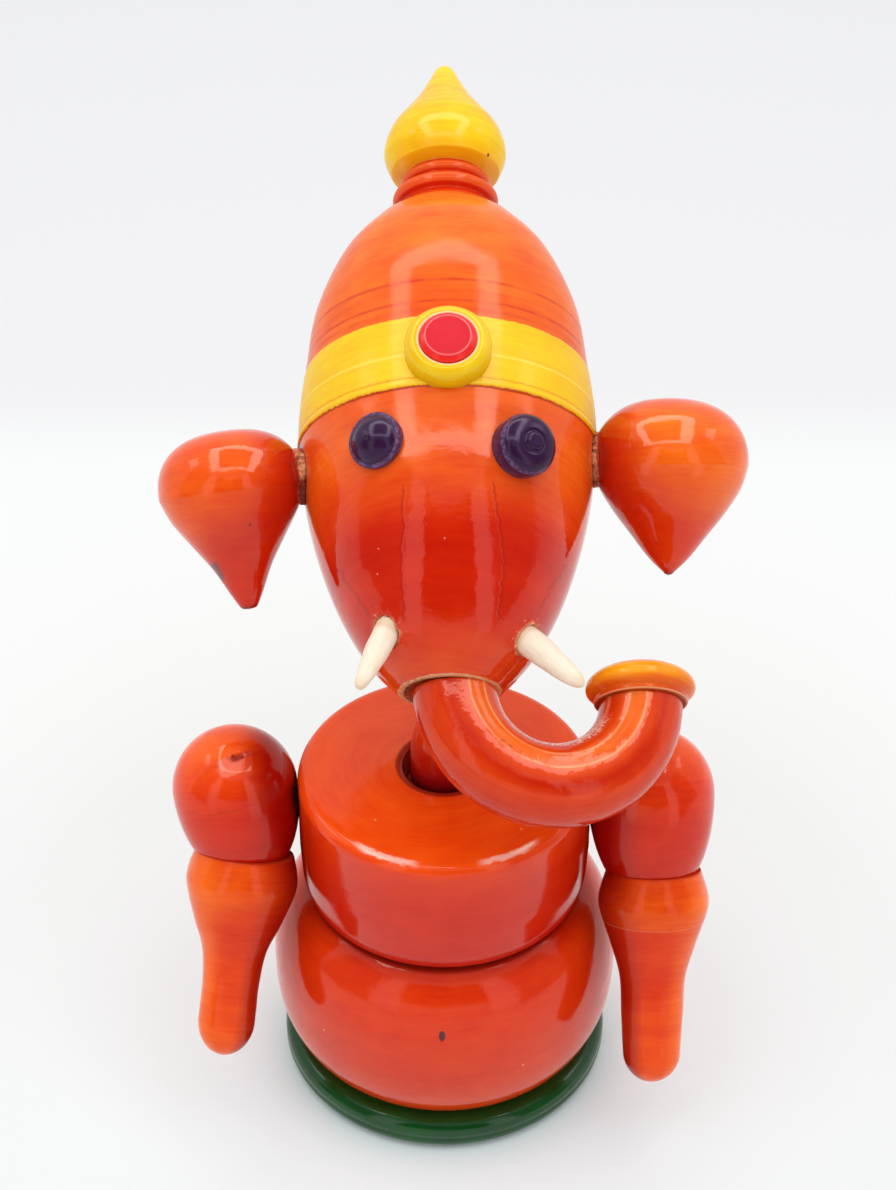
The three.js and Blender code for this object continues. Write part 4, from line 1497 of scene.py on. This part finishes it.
# %% The trunk's lacquer
REFLECTING_RIDGES = ((9.0, 0.15, 0.5), (11.55, 0.12, 0.75), (13.95, 0.14, 0.7), (12.5, 0.05, 0.2))
NICKS = ((-8.9, 10.3, -6.3), (-7.9, 11.1, -6.3), (0.4, 12.3, -5.9), (-1.2, 12.6, -5.9))
trunk = Lacquer("trunk_lacquer", ring_place)
swayed = trunk.radius + (trunk.clouds(0.15, 6) - 0.5) * 0.5
tube_colour = trunk.ramp(
    swayed,
    [
        (8.3, (0.60, 0.030, 0.003)),
        (10.6, (0.68, 0.052, 0.005)),
        (11.7, (0.80, 0.110, 0.008)),
        (13.8, (0.80, 0.105, 0.008)),
        (14.8, (0.70, 0.050, 0.004)),
        (17.0, (0.54, 0.016, 0.002)),
        (18.6, (0.66, 0.038, 0.003)),
        (21.3, (0.58, 0.026, 0.003)),
    ],
)
trunk.colour = trunk.lac(tube_colour, 111, 1.0, 0.5)
# The pale lines are painted reflections of the lamps, lying on low raised lines in the bump.
ridges_and_reflections = 0
for ridge, half, strength in REFLECTING_RIDGES:
    patchy = 0.45 + trunk.patches(0.22, ridge, 3.0, 0.35, 0.6) * 0.55
    ridges_and_reflections = ridges_and_reflections + trunk.between(swayed, ridge - half, ridge + half, 0.2) * patchy * strength
ridges_and_reflections = ridges_and_reflections * trunk.step(trunk.station, 0.5, -2.0)
trunk.coat(ridges_and_reflections, (0.97, 0.38, 0.19))
inner_edge = trunk.between(swayed, 8.4, 9.8, 0.3) * trunk.step(trunk.station, -0.6, -1.6)
inner_edge = inner_edge * trunk.step(trunk.y, 3.5, 5.5)
# The pale inner edge is lacquer with chips and a painted glint along it.
chips_and_glints = inner_edge * trunk.patches(2.2, 4, 4.0, 0.44, 0.57)
trunk.coat(chips_and_glints * 0.75, (0.95, 0.52, 0.38))
trunk.spots(NICKS, (0.5, 0.22, 0.3), (0.30, 0.05, 0.03), 0.5, 0.5)
relief = trunk.relief(111, 1.5, 2.4) + ridges_and_reflections * 0.02 - chips_and_glints * 0.06
finished("trunk", trunk_mesh, trunk.done(relief, 0.065, 0.46, WARM))

# %% The cup
CUP_RADIUS = 8.6
CUP_HEIGHT = 6.4
cup_centre = trunk_root + across * (2 * TRUNK_RING)
cup_centre -= crown * (cup_centre - SNOUT_END).dot(crown)
cup_place = place_at(cup_centre, crown)
cup_profile = eased(
    [
        (0, 0),
        (7.1, 0),
        (7.4, 0.3),
        (7.32, 0.75),
        *arc((3.2, 2.6), CUP_RADIUS - 3.2, 2.5, -39, 0, 10),
        *arc((0, 2.6), CUP_RADIUS, CUP_HEIGHT - 2.6, 8, 90, 24),
    ],
    0.25,
)
cup_profile[-1].x = 0
cup_mesh = turned("trunk_cup", filled(cup_profile, 0.6), cup_place, 140)
cup = Lacquer("cup_lacquer", cup_place)
cup_base = cup.ramp(
    cup.station,
    [
        (0, (0.58, 0.040, 0.004)),
        (0.9, (0.72, 0.085, 0.005)),
        (1.7, (0.80, 0.140, 0.006)),
        (2.5, (0.88, 0.27, 0.008)),
        (3.9, (0.92, 0.36, 0.008)),
        (5.2, (0.84, 0.22, 0.008)),
        (6.4, (0.80, 0.19, 0.008)),
    ],
)
cup.colour = cup.lac(cup_base, 121, 0.8, 0.7)
cup.coat(cup.between(cup.station, 0.12, 0.32, 0.08) * 0.7, (0.82, 0.38, 0.18))
# Painted shade: the underside, which faces the trunk, is dark.
cup.coat(cup.step(cup.station, 0.1, 0.02), (0.30, 0.05, 0.012))
finished("trunk_cup", cup_mesh, cup.done(cup.relief(121), 0.13, 0.4, (1.0, 0.80, 0.45)))

# %% [markdown]
# ## Colour management and the last line
#
# The photograph is bright and strongly coloured. The Standard view keeps saturated reds, which
# AgX would turn pale.

# %% The finish
bpy.context.scene.view_settings.view_transform = "Standard"
print("triangles in all:", sum(triangles.values()))
